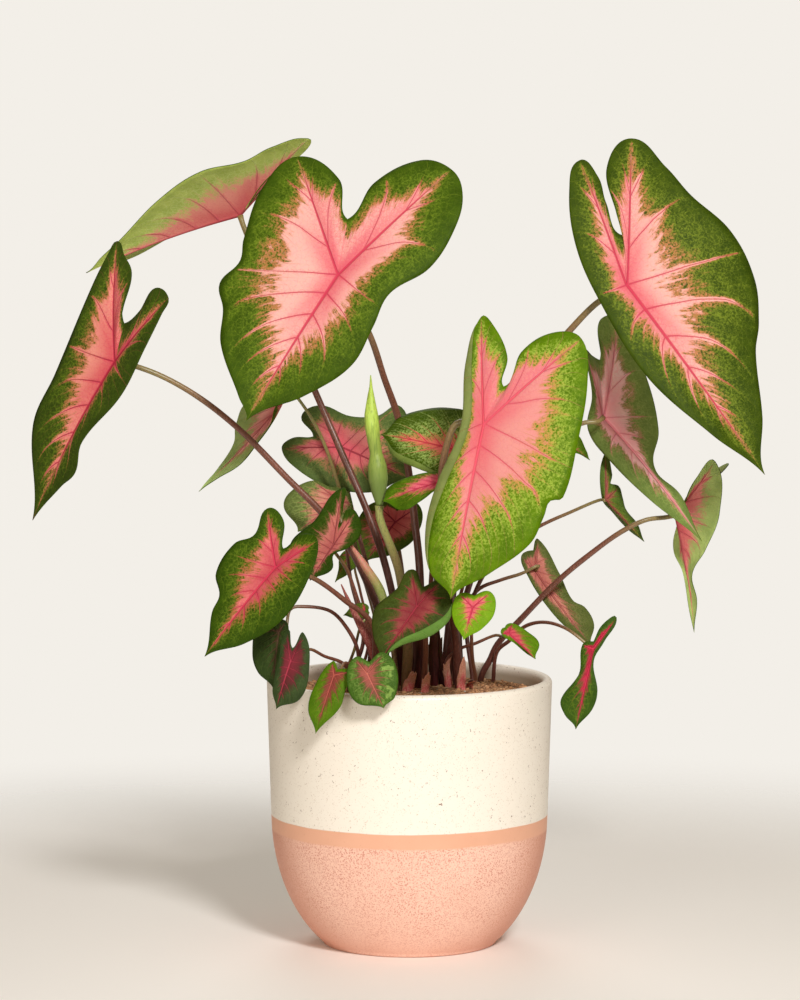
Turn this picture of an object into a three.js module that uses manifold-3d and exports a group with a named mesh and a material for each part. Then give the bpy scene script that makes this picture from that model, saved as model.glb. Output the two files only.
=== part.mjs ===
// A pink-centred caladium growing in a round two-tone ceramic pot.
// Millimetres, +Z up. The origin is the centre of the pot's flat underside; the fullest side of the
// plant faces -Y and +X is to the right of someone who looks along +Y.
import * as THREE from 'three';
import { mergeVertices } from 'three/addons/utils/BufferGeometryUtils.js';
import Module from 'manifold-3d';

const wasm = await Module();
wasm.setup();

// ---------------------------------------------------------------- driving dimensions
const POT_HEIGHT = 150;
const RIM_RADIUS = 80;
const BAND_RADIUS = 77.6; // where the bowl turns into the almost straight upper wall
const BAND_HEIGHT = 71; // the two glazes meet at this height
const BASE_RADIUS = 49;
const WALL = 5.5;
const FLOOR = 8;
const FOOT_CHAMFER = 1.2;
const POT_SIDES = 36;
const BOWL_STEPS = 5;
const LIP_ANGLES = [45, 90, 135]; // degrees round the lip, from the outside over the top

const SOIL_TOP = 142;
const SOIL_CROWN = 1.5; // the soil stands this much higher in the middle
const SOIL_SHOULDER = { radiusShare: 0.6, riseShare: 0.7 };
const FIT_GAP = 0.3; // between pieces that touch on the real plant

const BLADE_THICKNESS = 0.8;
const VEIN_STEP = 13; // length of vein that one strip of a blade takes
const FEWEST_TIP_STRIPS = 4; // from tip to joint, and then from joint to the end of a lobe
const FEWEST_LOBE_STRIPS = 2;
const WIDE_BLADE = 60; // blades longer than this get one more row of faces
const VEIN_ARCH = 0.05; // how far the main veins bow towards the face, per length
const PANEL_CROWN = 0.05; // how far the blade swells between two veins, per width
const MARGIN_FULLNESS = 0.36; // length of a margin's handles, per length of its stretch
const SINUS_ROUNDING = 0.6; // 0: the sinus is a sharp notch, 1: a round one
const TIP_FULLNESS = 0.7; // 0: the margin leaves the tip along the midrib, 1: straight at the flank
const ROLL_LIFT = 0.7; // how far a rolled margin stands off the face, per width

const STALK_SIDES = 6;
const STALK_STEP = 20; // length of a straight stretch of a leaf stalk
const FEWEST_STEPS = 8;
const FOOT_SHARE = 1.15; // a stalk's radius at its foot and at its blade, as shares of its own
const NECK_SHARE = 0.75;
const NECK = 6; // a stalk turns square to its blade over this length
const HOLE_CLEARANCE = 0.4;

// The tuber's three crowns: centre and half-sizes. Every leaf stalk grows from the top of one.
const CROWNS = [
  { centre: [-20, 6, 116], size: [24, 27, 13] },
  { centre: [14, 12, 116], size: [23, 29, 13] },
  { centre: [39, 38, 116], size: [16, 14, 13] },
];

const COLOURS = {
  cream: '#efe8d8',
  soil: '#3a271d',
  tuber: '#6d5138',
  blade: '#5c8434',
  stalk: '#6a3d30',
  oliveStalk: '#7d7a45',
  spear: '#a9bf52',
  youngLeaf: '#a88a5c',
  sheath: '#b9736a',
};

// ---------------------------------------------------------------- the plan of the leaves
// The plant is planned on a sheet of 800 by 1000 units, as someone 2.3 m in front of it sees it in
// perspective. [across, down] is a place on the sheet, counted from its top left corner.
const EYE = new THREE.Vector3(-5.3, -2300, 450);
const AIM = new THREE.Vector3(-5.3, 0, 249.7); // seen in the middle of the sheet
const SHEET_MIDDLE = [400, 500];
const SHEET_REACH = 4129.7; // the sheet's distance from the eye, in its own units
const DOME = 0.09; // how far a blade falls away from its face, per length, out at the tip's distance

// joint: where the stalk meets the blade, and depth: how far behind the pot's axis. facing: the way
// that the face looks. tip, sinus: ends of the blade's middle line. left and right are the sides seen
// on the face with the tip down: flank runs up the outer margin from the tip, lobe is the end of the
// rounded back lobe, inner runs down from it to the sinus. A third number lifts a place off the
// blade's plane, and a free place has a depth of its own instead. flat: the blade isn't domed.
// roll folds a stretch of the outer margin back over the face: its start and end as shares of the
// margin from tip to lobe, and its width. whole: blade and stalk are too small to be two pieces.
// stalk: radius, foot on the soil (x, y in mm), and the places [across, down, depth] that it passes
// on its way to the joint; steps where a sharp bend needs more of them than its length gives.
const PLAN = {
  top_back: {
    joint: [240, 215], depth: 75, facing: [-0.1, 0.75, 0.66], tip: [87, 272], sinus: [247, 207],
    left: {
      flank: [free(104, 262, 86), free(126, 259, 98), free(168, 238, 122)],
      lobe: free(290, 170, 122), inner: [free(268, 184, 98)],
    },
    right: {
      flank: [[101, 257], [119, 240], [158, 200], [200, 172], [244, 162], [272, 148]],
      lobe: [308, 138], inner: [[303, 153], [268, 178]],
    },
    stalk: {
      radius: 2, foot: [-6, 24],
      route: [[397, 620, 24], [385, 562, 26], [367, 510, 30], [341, 450, 36], [314, 390, 44],
        [280, 310, 58]],
    },
  },
  top_front: {
    joint: [338, 275], depth: -45, facing: [-0.12, -0.93, 0.35], tip: [246, 420], sinus: [347, 219],
    left: {
      flank: [[238, 397, 3], [221, 345, 3], [223, 310, 3], [219, 284, 2], [240, 262, 4],
        [243, 240, 4], [262, 187, 2]],
      lobe: [298, 157], inner: [[338, 178, 1]],
    },
    right: {
      flank: [[305, 395, 2], [350, 366, 3], [373, 328, 4], [390, 294, 4], [430, 267, 4],
        [455, 226, 5], [463, 193, 4]],
      lobe: [452, 170, 2], inner: [[420, 161], [375, 182]],
    },
    stalk: {
      radius: 2.1, foot: [6, 8],
      route: [[420, 575, 10], [414, 520, 14], [408, 465, 16], [398, 420, 12], [385, 378, -2],
        [370, 335, -20]],
    },
  },
  far_left: {
    joint: [116, 362], depth: -15, facing: [-0.62, -0.76, 0.2], tip: [32, 520], sinus: [125, 323],
    left: {
      flank: [[34, 425, 6], [55, 374, 6], [92, 287, 4], free(109, 253, 7)],
      lobe: [118, 241], inner: [free(124, 254, 1), [132, 275, 2], [123, 312, 2]],
    },
    right: {
      flank: [[60, 487, 1], [75, 472, 2], [81, 442, 4], [121, 395, 5], [146, 348, 7], [161, 314, 8]],
      lobe: [169, 299, 9], inner: [[155, 289, 8], [139, 312, 4]],
    },
    stalk: {
      radius: 1.9, foot: [-14, 10],
      route: [[384, 635, 8], [368, 585, 4], [345, 540, 0], [318, 508, -2], [290, 480, -3],
        [240, 430, -6], [200, 398, -9], [165, 378, -12], [138, 366, -13]],
    },
  },
  right_large: {
    joint: [627, 285], depth: -35, facing: [0.1, -0.94, 0.33], tip: [765, 474], sinus: [622, 235],
    left: {
      flank: [[712, 436, 4], [646, 376, 2], [597, 298], [575, 245], [569, 190]],
      lobe: [580, 161, -2], inner: [[598, 176], [606, 202]],
    },
    right: {
      flank: [[763, 415], [755, 352, -2], [759, 322, -1], [755, 278], [731, 231, 4], [690, 195, 5],
        [667, 167, 3]],
      lobe: [632, 139], inner: [[607, 168], [616, 213]],
    },
    stalk: {
      radius: 2.2, foot: [20, 22],
      route: [[450, 620, 20], [458, 560, 16], [490, 440, 4], [540, 365, -6], [567, 335, -12],
        [598, 303, -20]],
    },
  },
  right_shade: {
    joint: [603, 418], depth: 15, facing: [0.42, 0.82, 0.38], tip: free(703, 543, 0),
    sinus: [600, 360],
    left: {
      flank: [free(680, 495, 6), [655, 468, 3], [658, 430], [646, 376]],
      lobe: [618, 318], inner: [[600, 322]],
    },
    right: {
      flank: [free(652, 502, 10), [612, 462, 2], [588, 430, 4], [592, 395, 9]],
      lobe: [586, 352, 14], inner: [[592, 355, 9]],
    },
    stalk: {
      radius: 1.7, foot: [26, 32],
      route: [[460, 620, 32], [478, 560, 28], [520, 475, 20], [555, 440, 14], [583, 424, 10]],
    },
  },
  front_large: {
    joint: [483, 425], depth: -70, facing: [-0.25, -0.9, 0.35], tip: [450, 600], sinus: [504, 386],
    left: {
      flank: [[431, 572], [426, 530], [437, 486, 4], [461, 428, 9], [466, 362, 5]],
      lobe: [482, 317, 2], inner: [[495, 327, 2], [508, 356, 1]],
      roll: { from: 0.12, to: 0.97, width: 10 },
    },
    right: {
      flank: [[486, 576], [530, 544], [545, 516], [550, 501, 1], [563, 498, 1], [578, 444, 1],
        [588, 380, 2]],
      lobe: [582, 338, 2], inner: [[553, 332, 2], [523, 352, 2]],
    },
    stalk: {
      radius: 2.3, foot: [28, 6],
      route: [[456, 640, 0], [450, 600, -16], [446, 540, -38], [441, 485, -54], [446, 447, -59],
        [458, 424, -62]],
    },
  },
  left_mid: {
    joint: [275, 568], depth: -60, facing: [-0.3, -0.88, 0.35], tip: [204, 656], sinus: [284, 548],
    left: {
      flank: [[213, 612], [219, 596], [216, 572, 1], [235, 544, 3], [254, 535, 3]],
      lobe: [267, 509, 2], inner: [[284, 521]],
    },
    right: {
      flank: [[245, 643], [282, 620, 2], [308, 578, 4]],
      lobe: [317, 541, 4], inner: [[302, 535, 1]],
    },
    stalk: { radius: 1.6, foot: [-20, -8], route: [[372, 625, -20], [345, 600, -32], [312, 578, -44]] },
  },
  far_right: {
    flat: true,
    joint: [674, 515], depth: 24, facing: [0.5, 0.82, 0.2], tip: [694, 632], sinus: [686, 500],
    left: {
      flank: [[697, 600], [692, 575], [706, 550], [719, 512]],
      lobe: [715, 462], inner: [[697, 479]],
    },
    right: {
      flank: [[690, 610], [682, 572, 1], [673, 551, 2], [677, 528, 1], free(692, 490, 36)],
      lobe: free(728, 464, 22), inner: [],
    },
    stalk: {
      radius: 1.7, foot: [41, 44],
      route: [[489, 660, 43], [497, 645, 41], [520, 620, 36], [560, 580, 28], [590, 555, 22],
        [620, 533, 17], [645, 520, 16]],
    },
  },
  upper_mid_back: {
    joint: [342, 448], depth: 58, facing: [0.1, -0.86, 0.5], tip: [410, 478], sinus: [313, 437],
    left: { flank: [[372, 492], [330, 487], [297, 470]], lobe: [282, 449], inner: [[293, 438]] },
    right: {
      flank: [[410, 442], [400, 407], [378, 416], [350, 417]],
      lobe: [320, 406], inner: [[302, 417]],
    },
    stalk: { radius: 1.4, foot: [-18, 28], route: [[385, 630, 36], [365, 560, 50], [350, 500, 62]] },
  },
  mid_left_hanging: {
    flat: true,
    joint: [284, 402], depth: 25, facing: [0.3, 0.75, -0.6], tip: [198, 492], sinus: [287, 398],
    left: {
      flank: [[216, 478], [240, 464], [258, 442], [270, 424]],
      lobe: free(276, 406, 14), inner: [],
    },
    right: {
      flank: [[205, 484], [217, 469], [234, 443], [236, 425]],
      lobe: free(250, 400, 40), inner: [],
    },
    stalk: {
      colour: 'oliveStalk', radius: 1.1, foot: [-26, 22], steps: 26,
      route: [[378, 640, 24], [362, 570, 32], [342, 498, 30], [324, 444, 26], [306, 410, 18],
        [290, 391, 12]],
    },
  },
  centre_right_upper: {
    joint: [466, 452], depth: -22, facing: [-0.25, -0.75, 0.6], tip: [380, 435], sinus: [473, 450],
    left: { flank: [[398, 418], [425, 409], [450, 408]], lobe: [469, 414], inner: [] },
    right: {
      flank: [[394, 455], [414, 467, 1], [440, 474, 1]],
      lobe: [463, 471, 1], inner: [], roll: { from: 0.05, to: 0.9, width: 4 },
    },
    stalk: { radius: 1.5, foot: [16, 34], route: [[436, 600, 30], [440, 540, 18], [452, 490, -2]] },
  },
  centre_right_lower: {
    joint: [446, 480], depth: -42, facing: [-0.25, -0.72, 0.65], tip: [382, 501], sinus: [451, 480],
    left: { flank: [[388, 488], [408, 478]], lobe: [437, 472], inner: [] },
    right: { flank: [[402, 510], [420, 501]], lobe: [436, 490], inner: [] },
    stalk: { radius: 1.4, foot: [14, 20], route: [[430, 600, 14], [432, 560, 2], [438, 515, -20]] },
  },
  mid_right_hanging: {
    joint: [536, 571], depth: 46, facing: [-0.3, 0.75, -0.58], tip: [591, 645], sinus: [533, 550],
    left: { flank: [[594, 625], [585, 607], [573, 600], [560, 574]], lobe: [539, 540], inner: [] },
    right: { flank: [[567, 628], [545, 603], [528, 577]], lobe: [521, 557], inner: [] },
    stalk: {
      radius: 1.2, foot: [30, 44],
      route: [[462, 620, 46], [478, 590, 46], [500, 580, 44], [521, 574, 42]],
    },
  },
  lower_right_hanging: {
    joint: [593, 648], depth: -25, facing: [-0.2, -0.9, 0.3], tip: [575, 730], sinus: [594, 642],
    left: { flank: [[565, 715], [561, 700], [579, 674]], lobe: [582, 645], inner: [] },
    right: {
      flank: [[592, 710], [598, 692], [594, 662], [604, 641]],
      lobe: [616, 617], inner: [[603, 625]],
    },
    stalk: {
      radius: 1.1, foot: [48, 40],
      route: [[497, 652, 36], [510, 640, 30], [525, 627, 20], [543, 622, 8], [570, 630, -14]],
    },
  },
  narrow_right: {
    joint: free(606, 500, 29), depth: 31, facing: [0.55, -0.8, 0.2], tip: [644, 542],
    sinus: [611, 484],
    left: {
      flank: [[629.5, 529, -3], [613.5, 513, -4], [601.5, 497, -2]],
      lobe: [604, 454], inner: [[611, 474]],
    },
    right: { flank: [[638, 524], [626, 510], [622, 497]], lobe: [619, 487], inner: [] },
    stalk: {
      radius: 1.2, foot: [36, 34],
      route: [[468, 620, 38], [490, 565, 42], [520, 538, 43], [543, 525, 42], [570, 513, 40]],
    },
  },
  front_centre: {
    joint: [418, 607], depth: -72, facing: [-0.1, -0.9, 0.42], tip: [381, 661], sinus: [422, 588],
    left: { flank: [[372, 635], [374, 610], [396, 589]], lobe: [412, 570], inner: [] },
    right: {
      flank: [[399, 646], [434, 634], [452, 610]],
      lobe: [441, 581], inner: [], roll: { from: 0.05, to: 0.8, width: 7 },
    },
    stalk: { radius: 1.6, foot: [8, -12], route: [[425, 650, -30], [424, 625, -46]] },
  },
  left_twisted: {
    joint: [333, 545], depth: -25, facing: [-0.1, -0.8, 0.6], tip: [309, 580], sinus: [339, 523],
    left: { flank: [[300, 562], [291, 543], [314, 521]], lobe: [341, 488], inner: [[343, 508]] },
    right: {
      flank: [free(331, 570, -34), free(334, 554, -29), free(349, 548, -22), free(361, 532, -14)],
      lobe: free(356, 511, -9), inner: [free(346, 511, -11)],
    },
    stalk: { radius: 1.2, foot: [-24, 10], route: [[370, 640, 8], [358, 600, 2], [346, 570, -4]] },
  },
  left_back_low: {
    joint: [338, 500], depth: 20, facing: [0.4, 0.8, -0.4], tip: [297, 531], sinus: [340, 489],
    left: { flank: [[322, 532], [345, 522]], lobe: [352, 505], inner: [] },
    right: { flank: [[284, 508], [290, 493]], lobe: [313, 480], inner: [[330, 486]] },
    stalk: { radius: 1.1, foot: [-34, 16], route: [[364, 640, 18], [350, 580, 14], [344, 530, 9]] },
  },
  centre_back: {
    joint: [395, 523], depth: 78, facing: [0.05, -0.9, 0.42], tip: [366, 562], sinus: [397, 508],
    left: { flank: [[350, 545], [358, 520]], lobe: [374, 503], inner: [] },
    right: { flank: [[392, 555], [416, 537]], lobe: [420, 506], inner: [] },
    stalk: { radius: 1.3, foot: [2, 36], route: [[406, 620, 50], [402, 570, 68]] },
  },
  rim_left_dark: {
    joint: [279, 632], depth: -32, facing: [-0.5, -0.8, 0.3], tip: [273, 690], sinus: [272, 624],
    left: { flank: [[258, 672], [252, 652]], lobe: [258, 626], inner: [] },
    right: { flank: [[279, 670], [286, 645]], lobe: [286, 622], inner: [] },
    stalk: {
      radius: 1.1, foot: [-29, 0],
      route: [[358, 650, -7], [346, 628, -11], [330, 612, -16], [305, 606, -20], [290, 608, -22]],
    },
  },
  rim_left_pink: {
    joint: [291, 662], depth: -56, facing: [-0.3, -0.9, 0.3], tip: [277, 709], sinus: [293, 648],
    left: { flank: [[273, 690], [278, 660]], lobe: [288, 630], inner: [] },
    right: { flank: [[300, 700], [309, 672]], lobe: [304, 634], inner: [] },
    stalk: { radius: 1, foot: [-34, -8], route: [[345, 665, -24], [325, 656, -34], [308, 650, -44]] },
  },
  rim_front_left: {
    joint: [335, 676], depth: -77, facing: [-0.2, -0.9, 0.38], tip: [315, 733], sinus: [338, 669],
    left: { flank: [[309, 708], [316, 684]], lobe: [332, 662], inner: [] },
    right: { flank: [[340, 708], [346, 690]], lobe: [350, 672], inner: [] },
    stalk: { radius: 1, foot: [-30, -18], route: [[352, 668, -40], [344, 664, -58]] },
  },
  rim_front_mottled: {
    joint: [368, 674], depth: -86, facing: [-0.1, -0.93, 0.35], tip: [384, 709], sinus: [369, 662],
    left: { flank: [[357, 702], [347, 680]], lobe: [354, 658], inner: [] },
    right: { flank: [[395, 696], [396, 670]], lobe: [384, 653], inner: [] },
    stalk: { radius: 1.1, foot: [-22, -22], route: [[378, 668, -50], [374, 660, -70]] },
  },
  tiny_front: {
    joint: [473, 607], depth: -78, facing: [-0.1, -0.9, 0.42], tip: [463, 641], sinus: [474, 597],
    left: { flank: [[454, 622], [453, 607]], lobe: [459, 594], inner: [] },
    right: { flank: [[482, 628], [494, 611]], lobe: [491, 593], inner: [] },
    stalk: {
      radius: 1.1, foot: [34, 14],
      route: [[476, 680, 2], [473, 660, -20], [471, 637, -44], [472, 620, -62]],
    },
  },
  tiny_right: {
    joint: [508, 633], depth: -20, facing: [0.3, -0.75, 0.6], tip: [536, 660], sinus: [505, 628],
    left: { flank: [[526.5, 653.5, -2.5], [515, 644, -2.5]], lobe: [501, 634], inner: [] },
    right: { flank: [[539, 643], [528, 632]], lobe: [512, 623], inner: [] },
    stalk: {
      radius: 1, foot: [22, 12],
      route: [[447, 660, 10], [460, 650, 6], [475, 643, 0], [495, 636, -4]],
    },
  },
  small_back_right: {
    whole: true,
    joint: [566, 444], depth: -42, facing: [0.4, -0.75, 0.5], tip: [590, 460], sinus: [562, 444],
    left: { flank: [[577, 453]], lobe: [562, 452], inner: [] },
    right: { flank: [[586, 451]], lobe: [575, 434], inner: [] },
    stalk: {
      radius: 1, foot: [26, 20],
      route: [[455, 620, 16], [480, 540, -2], [520, 470, -24], [545, 448, -32]],
    },
  },
  small_left_inner: {
    whole: true,
    joint: [349, 555], depth: 21, facing: [-0.5, -0.8, 0.3], tip: [335, 583], sinus: [350, 550],
    left: { flank: [[338, 570]], lobe: [341, 555], inner: [] },
    right: { flank: [[348, 574]], lobe: [358, 560], inner: [] },
    stalk: { radius: 0.9, foot: [-28, 30], route: [[368, 640, 28], [360, 590, 27], [354, 567, 25]] },
  },
  small_left_low: {
    whole: true,
    joint: [364, 610], depth: -6, facing: [-0.3, -0.8, 0.5], tip: [343, 615], sinus: [368, 610],
    left: { flank: [[352, 606]], lobe: [363, 603], inner: [] },
    right: { flank: [[352, 618]], lobe: [362, 619], inner: [] },
    stalk: { radius: 0.9, foot: [-38, 8], route: [[354, 650, 2], [361, 625, -3]] },
  },
};

// ---------------------------------------------------------------- from the plan to millimetres
const forwards = AIM.clone().sub(EYE).normalize();
const rightwards = forwards.clone().cross(new THREE.Vector3(0, 0, 1)).normalize();
const upwards = rightwards.clone().cross(forwards);

// A place that stands away from the blade's plane.
function free(across, down, depth) {
  return { free: [across, down, depth] };
}

// The way from the eye through a place on the sheet.
function sightLine([across, down]) {
  return forwards.clone().multiplyScalar(SHEET_REACH)
    .addScaledVector(rightwards, across - SHEET_MIDDLE[0])
    .addScaledVector(upwards, SHEET_MIDDLE[1] - down);
}

// The point seen at a place on the sheet, so far behind the pot's axis.
function seen([across, down, depth]) {
  const line = sightLine([across, down]);
  return EYE.clone().addScaledVector(line, (depth - EYE.y) / line.y);
}

// The plan is good to a millimetre, so its points are whole ones.
function wholeMillimetres(vector) {
  return vector.round().toArray();
}

function routeInSpace(route) {
  return route.map((place) => wholeMillimetres(seen(place)));
}

// A leaf of the plan with all its points in millimetres.
function leafInSpace(leaf) {
  const [across, down] = leaf.joint.free ?? leaf.joint;
  const anchor = seen([across, down, leaf.depth]);
  const facing = new THREE.Vector3(...leaf.facing).normalize();
  const height = anchor.clone().sub(EYE).dot(facing);
  const onPlane = (place, lift) => {
    const line = sightLine(place);
    return EYE.clone().addScaledVector(line, (height + lift) / line.dot(facing));
  };
  const tip = leaf.tip.free ? seen(leaf.tip.free) : onPlane(leaf.tip, 0);
  const dome = leaf.flat ? 0 : DOME / anchor.distanceTo(tip);
  const onBlade = (place) => {
    if (place.free) return wholeMillimetres(seen(place.free));
    const lift = place[2] ?? 0;
    const reach = anchor.distanceTo(onPlane(place, lift));
    return wholeMillimetres(onPlane(place, lift - dome * reach ** 2));
  };
  const sideInSpace = (side) => ({
    ...side, flank: side.flank.map(onBlade), lobe: onBlade(side.lobe), inner: side.inner.map(onBlade),
  });
  return {
    ...leaf,
    joint: onBlade(leaf.joint), tip: onBlade(leaf.tip), sinus: onBlade(leaf.sinus),
    left: sideInSpace(leaf.left), right: sideInSpace(leaf.right),
    stalk: { ...leaf.stalk, route: routeInSpace(leaf.stalk.route) },
  };
}

const LEAVES = Object.fromEntries(
  Object.entries(PLAN).map(([name, leaf]) => [name, leafInSpace(leaf)]),
);

// ---------------------------------------------------------------- small helpers
const group = new THREE.Group();

function point([x, y, z]) {
  return new THREE.Vector3(x, y, z);
}

function between(a, b, share) {
  return a.clone().lerp(b, share);
}

function welded(geometry) {
  geometry.deleteAttribute('normal');
  geometry.deleteAttribute('uv');
  return mergeVertices(geometry, 1e-4);
}

function solid(geometry) {
  const closed = welded(geometry);
  return new wasm.Manifold(new wasm.Mesh({
    numProp: 3,
    vertProperties: Float32Array.from(closed.attributes.position.array),
    triVerts: Uint32Array.from(closed.index.array),
  }));
}

function geometryOf(manifold) {
  const mesh = manifold.getMesh();
  const geometry = new THREE.BufferGeometry();
  geometry.setAttribute('position', new THREE.BufferAttribute(mesh.vertProperties, 3));
  geometry.setIndex(new THREE.BufferAttribute(mesh.triVerts, 1));
  return geometry;
}

function add(name, geometry, color, roughness) {
  geometry.computeVertexNormals();
  const material = new THREE.MeshStandardMaterial({ color, roughness, metalness: 0 });
  const mesh = new THREE.Mesh(geometry, material);
  mesh.name = name;
  group.add(mesh);
}

// A body turned about the Z axis from a profile of [radius, height] pairs that starts and ends on it.
function turned(profile, sides) {
  const points = profile.map(([radius, height]) => new THREE.Vector2(radius, height));
  return new THREE.LatheGeometry(points, sides).rotateX(Math.PI / 2);
}

// ---------------------------------------------------------------- pot and soil
const bowl = new THREE.CubicBezierCurve(
  new THREE.Vector2(BASE_RADIUS, FOOT_CHAMFER),
  new THREE.Vector2(66, 16),
  new THREE.Vector2(77, 42),
  new THREE.Vector2(BAND_RADIUS, BAND_HEIGHT),
);

// The outer profile from foot to rim, moved inwards by an inset.
function wallProfile(inset) {
  const pairs = bowl.getPoints(BOWL_STEPS).map((p) => [p.x - inset, p.y]);
  pairs.push([RIM_RADIUS - inset, POT_HEIGHT - WALL / 2]);
  return pairs;
}

function potGeometry() {
  const lipCentre = RIM_RADIUS - WALL / 2;
  const lip = LIP_ANGLES.map((degrees) => {
    const angle = THREE.MathUtils.degToRad(degrees);
    return [lipCentre + Math.cos(angle) * WALL / 2, POT_HEIGHT + (Math.sin(angle) - 1) * WALL / 2];
  });
  const inside = wallProfile(WALL).filter(([, height]) => height > FLOOR).reverse();
  const floorRadius = BASE_RADIUS - WALL;
  return turned([
    [0, 0], [BASE_RADIUS - FOOT_CHAMFER, 0],
    ...wallProfile(0), ...lip, ...inside,
    [floorRadius, FLOOR], [0, FLOOR],
  ], POT_SIDES);
}

function soilGeometry() {
  const inset = WALL + FIT_GAP;
  const side = wallProfile(inset).filter(([, height]) => height > FLOOR && height < SOIL_TOP);
  const { mapLinear } = THREE.MathUtils;
  const topRadius = mapLinear(SOIL_TOP, BAND_HEIGHT, POT_HEIGHT, BAND_RADIUS, RIM_RADIUS) - inset;
  return turned([
    [0, FLOOR + FIT_GAP], [BASE_RADIUS - inset - FIT_GAP, FLOOR + FIT_GAP], ...side,
    [topRadius, SOIL_TOP],
    [topRadius * SOIL_SHOULDER.radiusShare, SOIL_TOP + SOIL_CROWN * SOIL_SHOULDER.riseShare],
    [0, SOIL_TOP + SOIL_CROWN],
  ], POT_SIDES);
}

// ---------------------------------------------------------------- tuber
const CROWN_SIDES = 12;
const CROWN_RINGS = 6;

function crownGeometry({ centre, size }, growth) {
  return new THREE.SphereGeometry(1, CROWN_SIDES, CROWN_RINGS)
    .rotateX(Math.PI / 2)
    .scale(size[0] + growth, size[1] + growth, size[2] + growth)
    .translate(...centre);
}

function tuberSolid(growth = 0) {
  const crowns = CROWNS.map((crown) => solid(crownGeometry(crown, growth)));
  return crowns.reduce((whole, crown) => whole.add(crown));
}

// ---------------------------------------------------------------- blades
// One side's margin: its outer stretch from tip to lobe and its inner stretch from lobe to sinus.
function marginOf(leaf, side) {
  const [joint, tip, sinus] = [leaf.joint, leaf.tip, leaf.sinus].map(point);
  const knots = [tip, ...side.flank.map(point), point(side.lobe), ...side.inner.map(point), sinus];
  const other = side === leaf.left ? leaf.right : leaf.left;
  const inwards = joint.clone().sub(sinus).normalize();
  const across = point(other.lobe).sub(point(side.lobe)).normalize();
  const directions = knots.map((knot, i) => {
    if (i === 0) return between(joint, knots[1], TIP_FULLNESS).sub(tip).normalize();
    if (i === knots.length - 1) return between(inwards, across, SINUS_ROUNDING).normalize();
    return knots[i + 1].clone().sub(knots[i - 1]).normalize();
  });
  const stretch = (i) => {
    const reach = knots[i].distanceTo(knots[i + 1]) * MARGIN_FULLNESS;
    const leaving = knots[i].clone().addScaledVector(directions[i], reach);
    const arriving = knots[i + 1].clone().addScaledVector(directions[i + 1], -reach);
    return new THREE.CubicBezierCurve3(knots[i], leaving, arriving, knots[i + 1]);
  };
  const outer = new THREE.CurvePath();
  const inner = new THREE.CurvePath();
  const lobeAt = side.flank.length + 1;
  for (let i = 0; i < knots.length - 1; i += 1) {
    (i < lobeAt ? outer : inner).add(stretch(i));
  }
  return { outer, inner };
}

// The direction that the face of the blade looks in, at its joint.
function faceNormal(leaf) {
  const joint = point(leaf.joint);
  const down = point(leaf.tip).sub(joint).normalize();
  const across = point(leaf.right.flank.at(-1)).sub(point(leaf.left.flank.at(-1)));
  return down.cross(across).normalize();
}

function arched(start, end, normal) {
  const middle = between(start, end, 0.5).addScaledVector(normal, start.distanceTo(end) * VEIN_ARCH);
  return new THREE.QuadraticBezierCurve3(start, middle, end);
}

function stripCount(vein, fewest) {
  return Math.max(fewest, Math.round(vein.getLength() / VEIN_STEP));
}

// Rows of points from a vein (row 0) to the margin, swelling in between. A rolled margin has one
// more row, which lies back over the face.
function panel(veinPoints, marginPoints, rows, normal, roll) {
  const last = veinPoints.length - 1;
  return veinPoints.map((vein, i) => {
    const margin = marginPoints[i];
    const width = vein.distanceTo(margin);
    const middle = Math.sin(Math.PI * i / last);
    const row = Array.from({ length: rows + 1 }, (_, k) => {
      const share = k / rows;
      const swell = 4 * share * (1 - share) * middle;
      return between(vein, margin, share).addScaledVector(normal, width * PANEL_CROWN * swell);
    });
    if (roll) {
      const along = THREE.MathUtils.clamp((i / last - roll.from) / (roll.to - roll.from), 0, 1);
      const reach = along > 0 && along < 1 ? roll.width * Math.sin(Math.PI * along) : 0;
      const back = vein.clone().sub(margin).normalize();
      const lift = reach * ROLL_LIFT;
      row.push(margin.clone().addScaledVector(back, lift).addScaledVector(normal, lift));
    }
    return row;
  });
}

function panelTriangles(grid, flipped) {
  const triangles = [];
  for (let i = 0; i < grid.length - 1; i += 1) {
    for (let k = 0; k < grid[i].length - 1; k += 1) {
      triangles.push([grid[i][k], grid[i + 1][k], grid[i][k + 1]]);
      triangles.push([grid[i + 1][k], grid[i + 1][k + 1], grid[i][k + 1]]);
    }
  }
  return flipped ? triangles.map(([a, b, c]) => [a, c, b]) : triangles;
}

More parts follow.
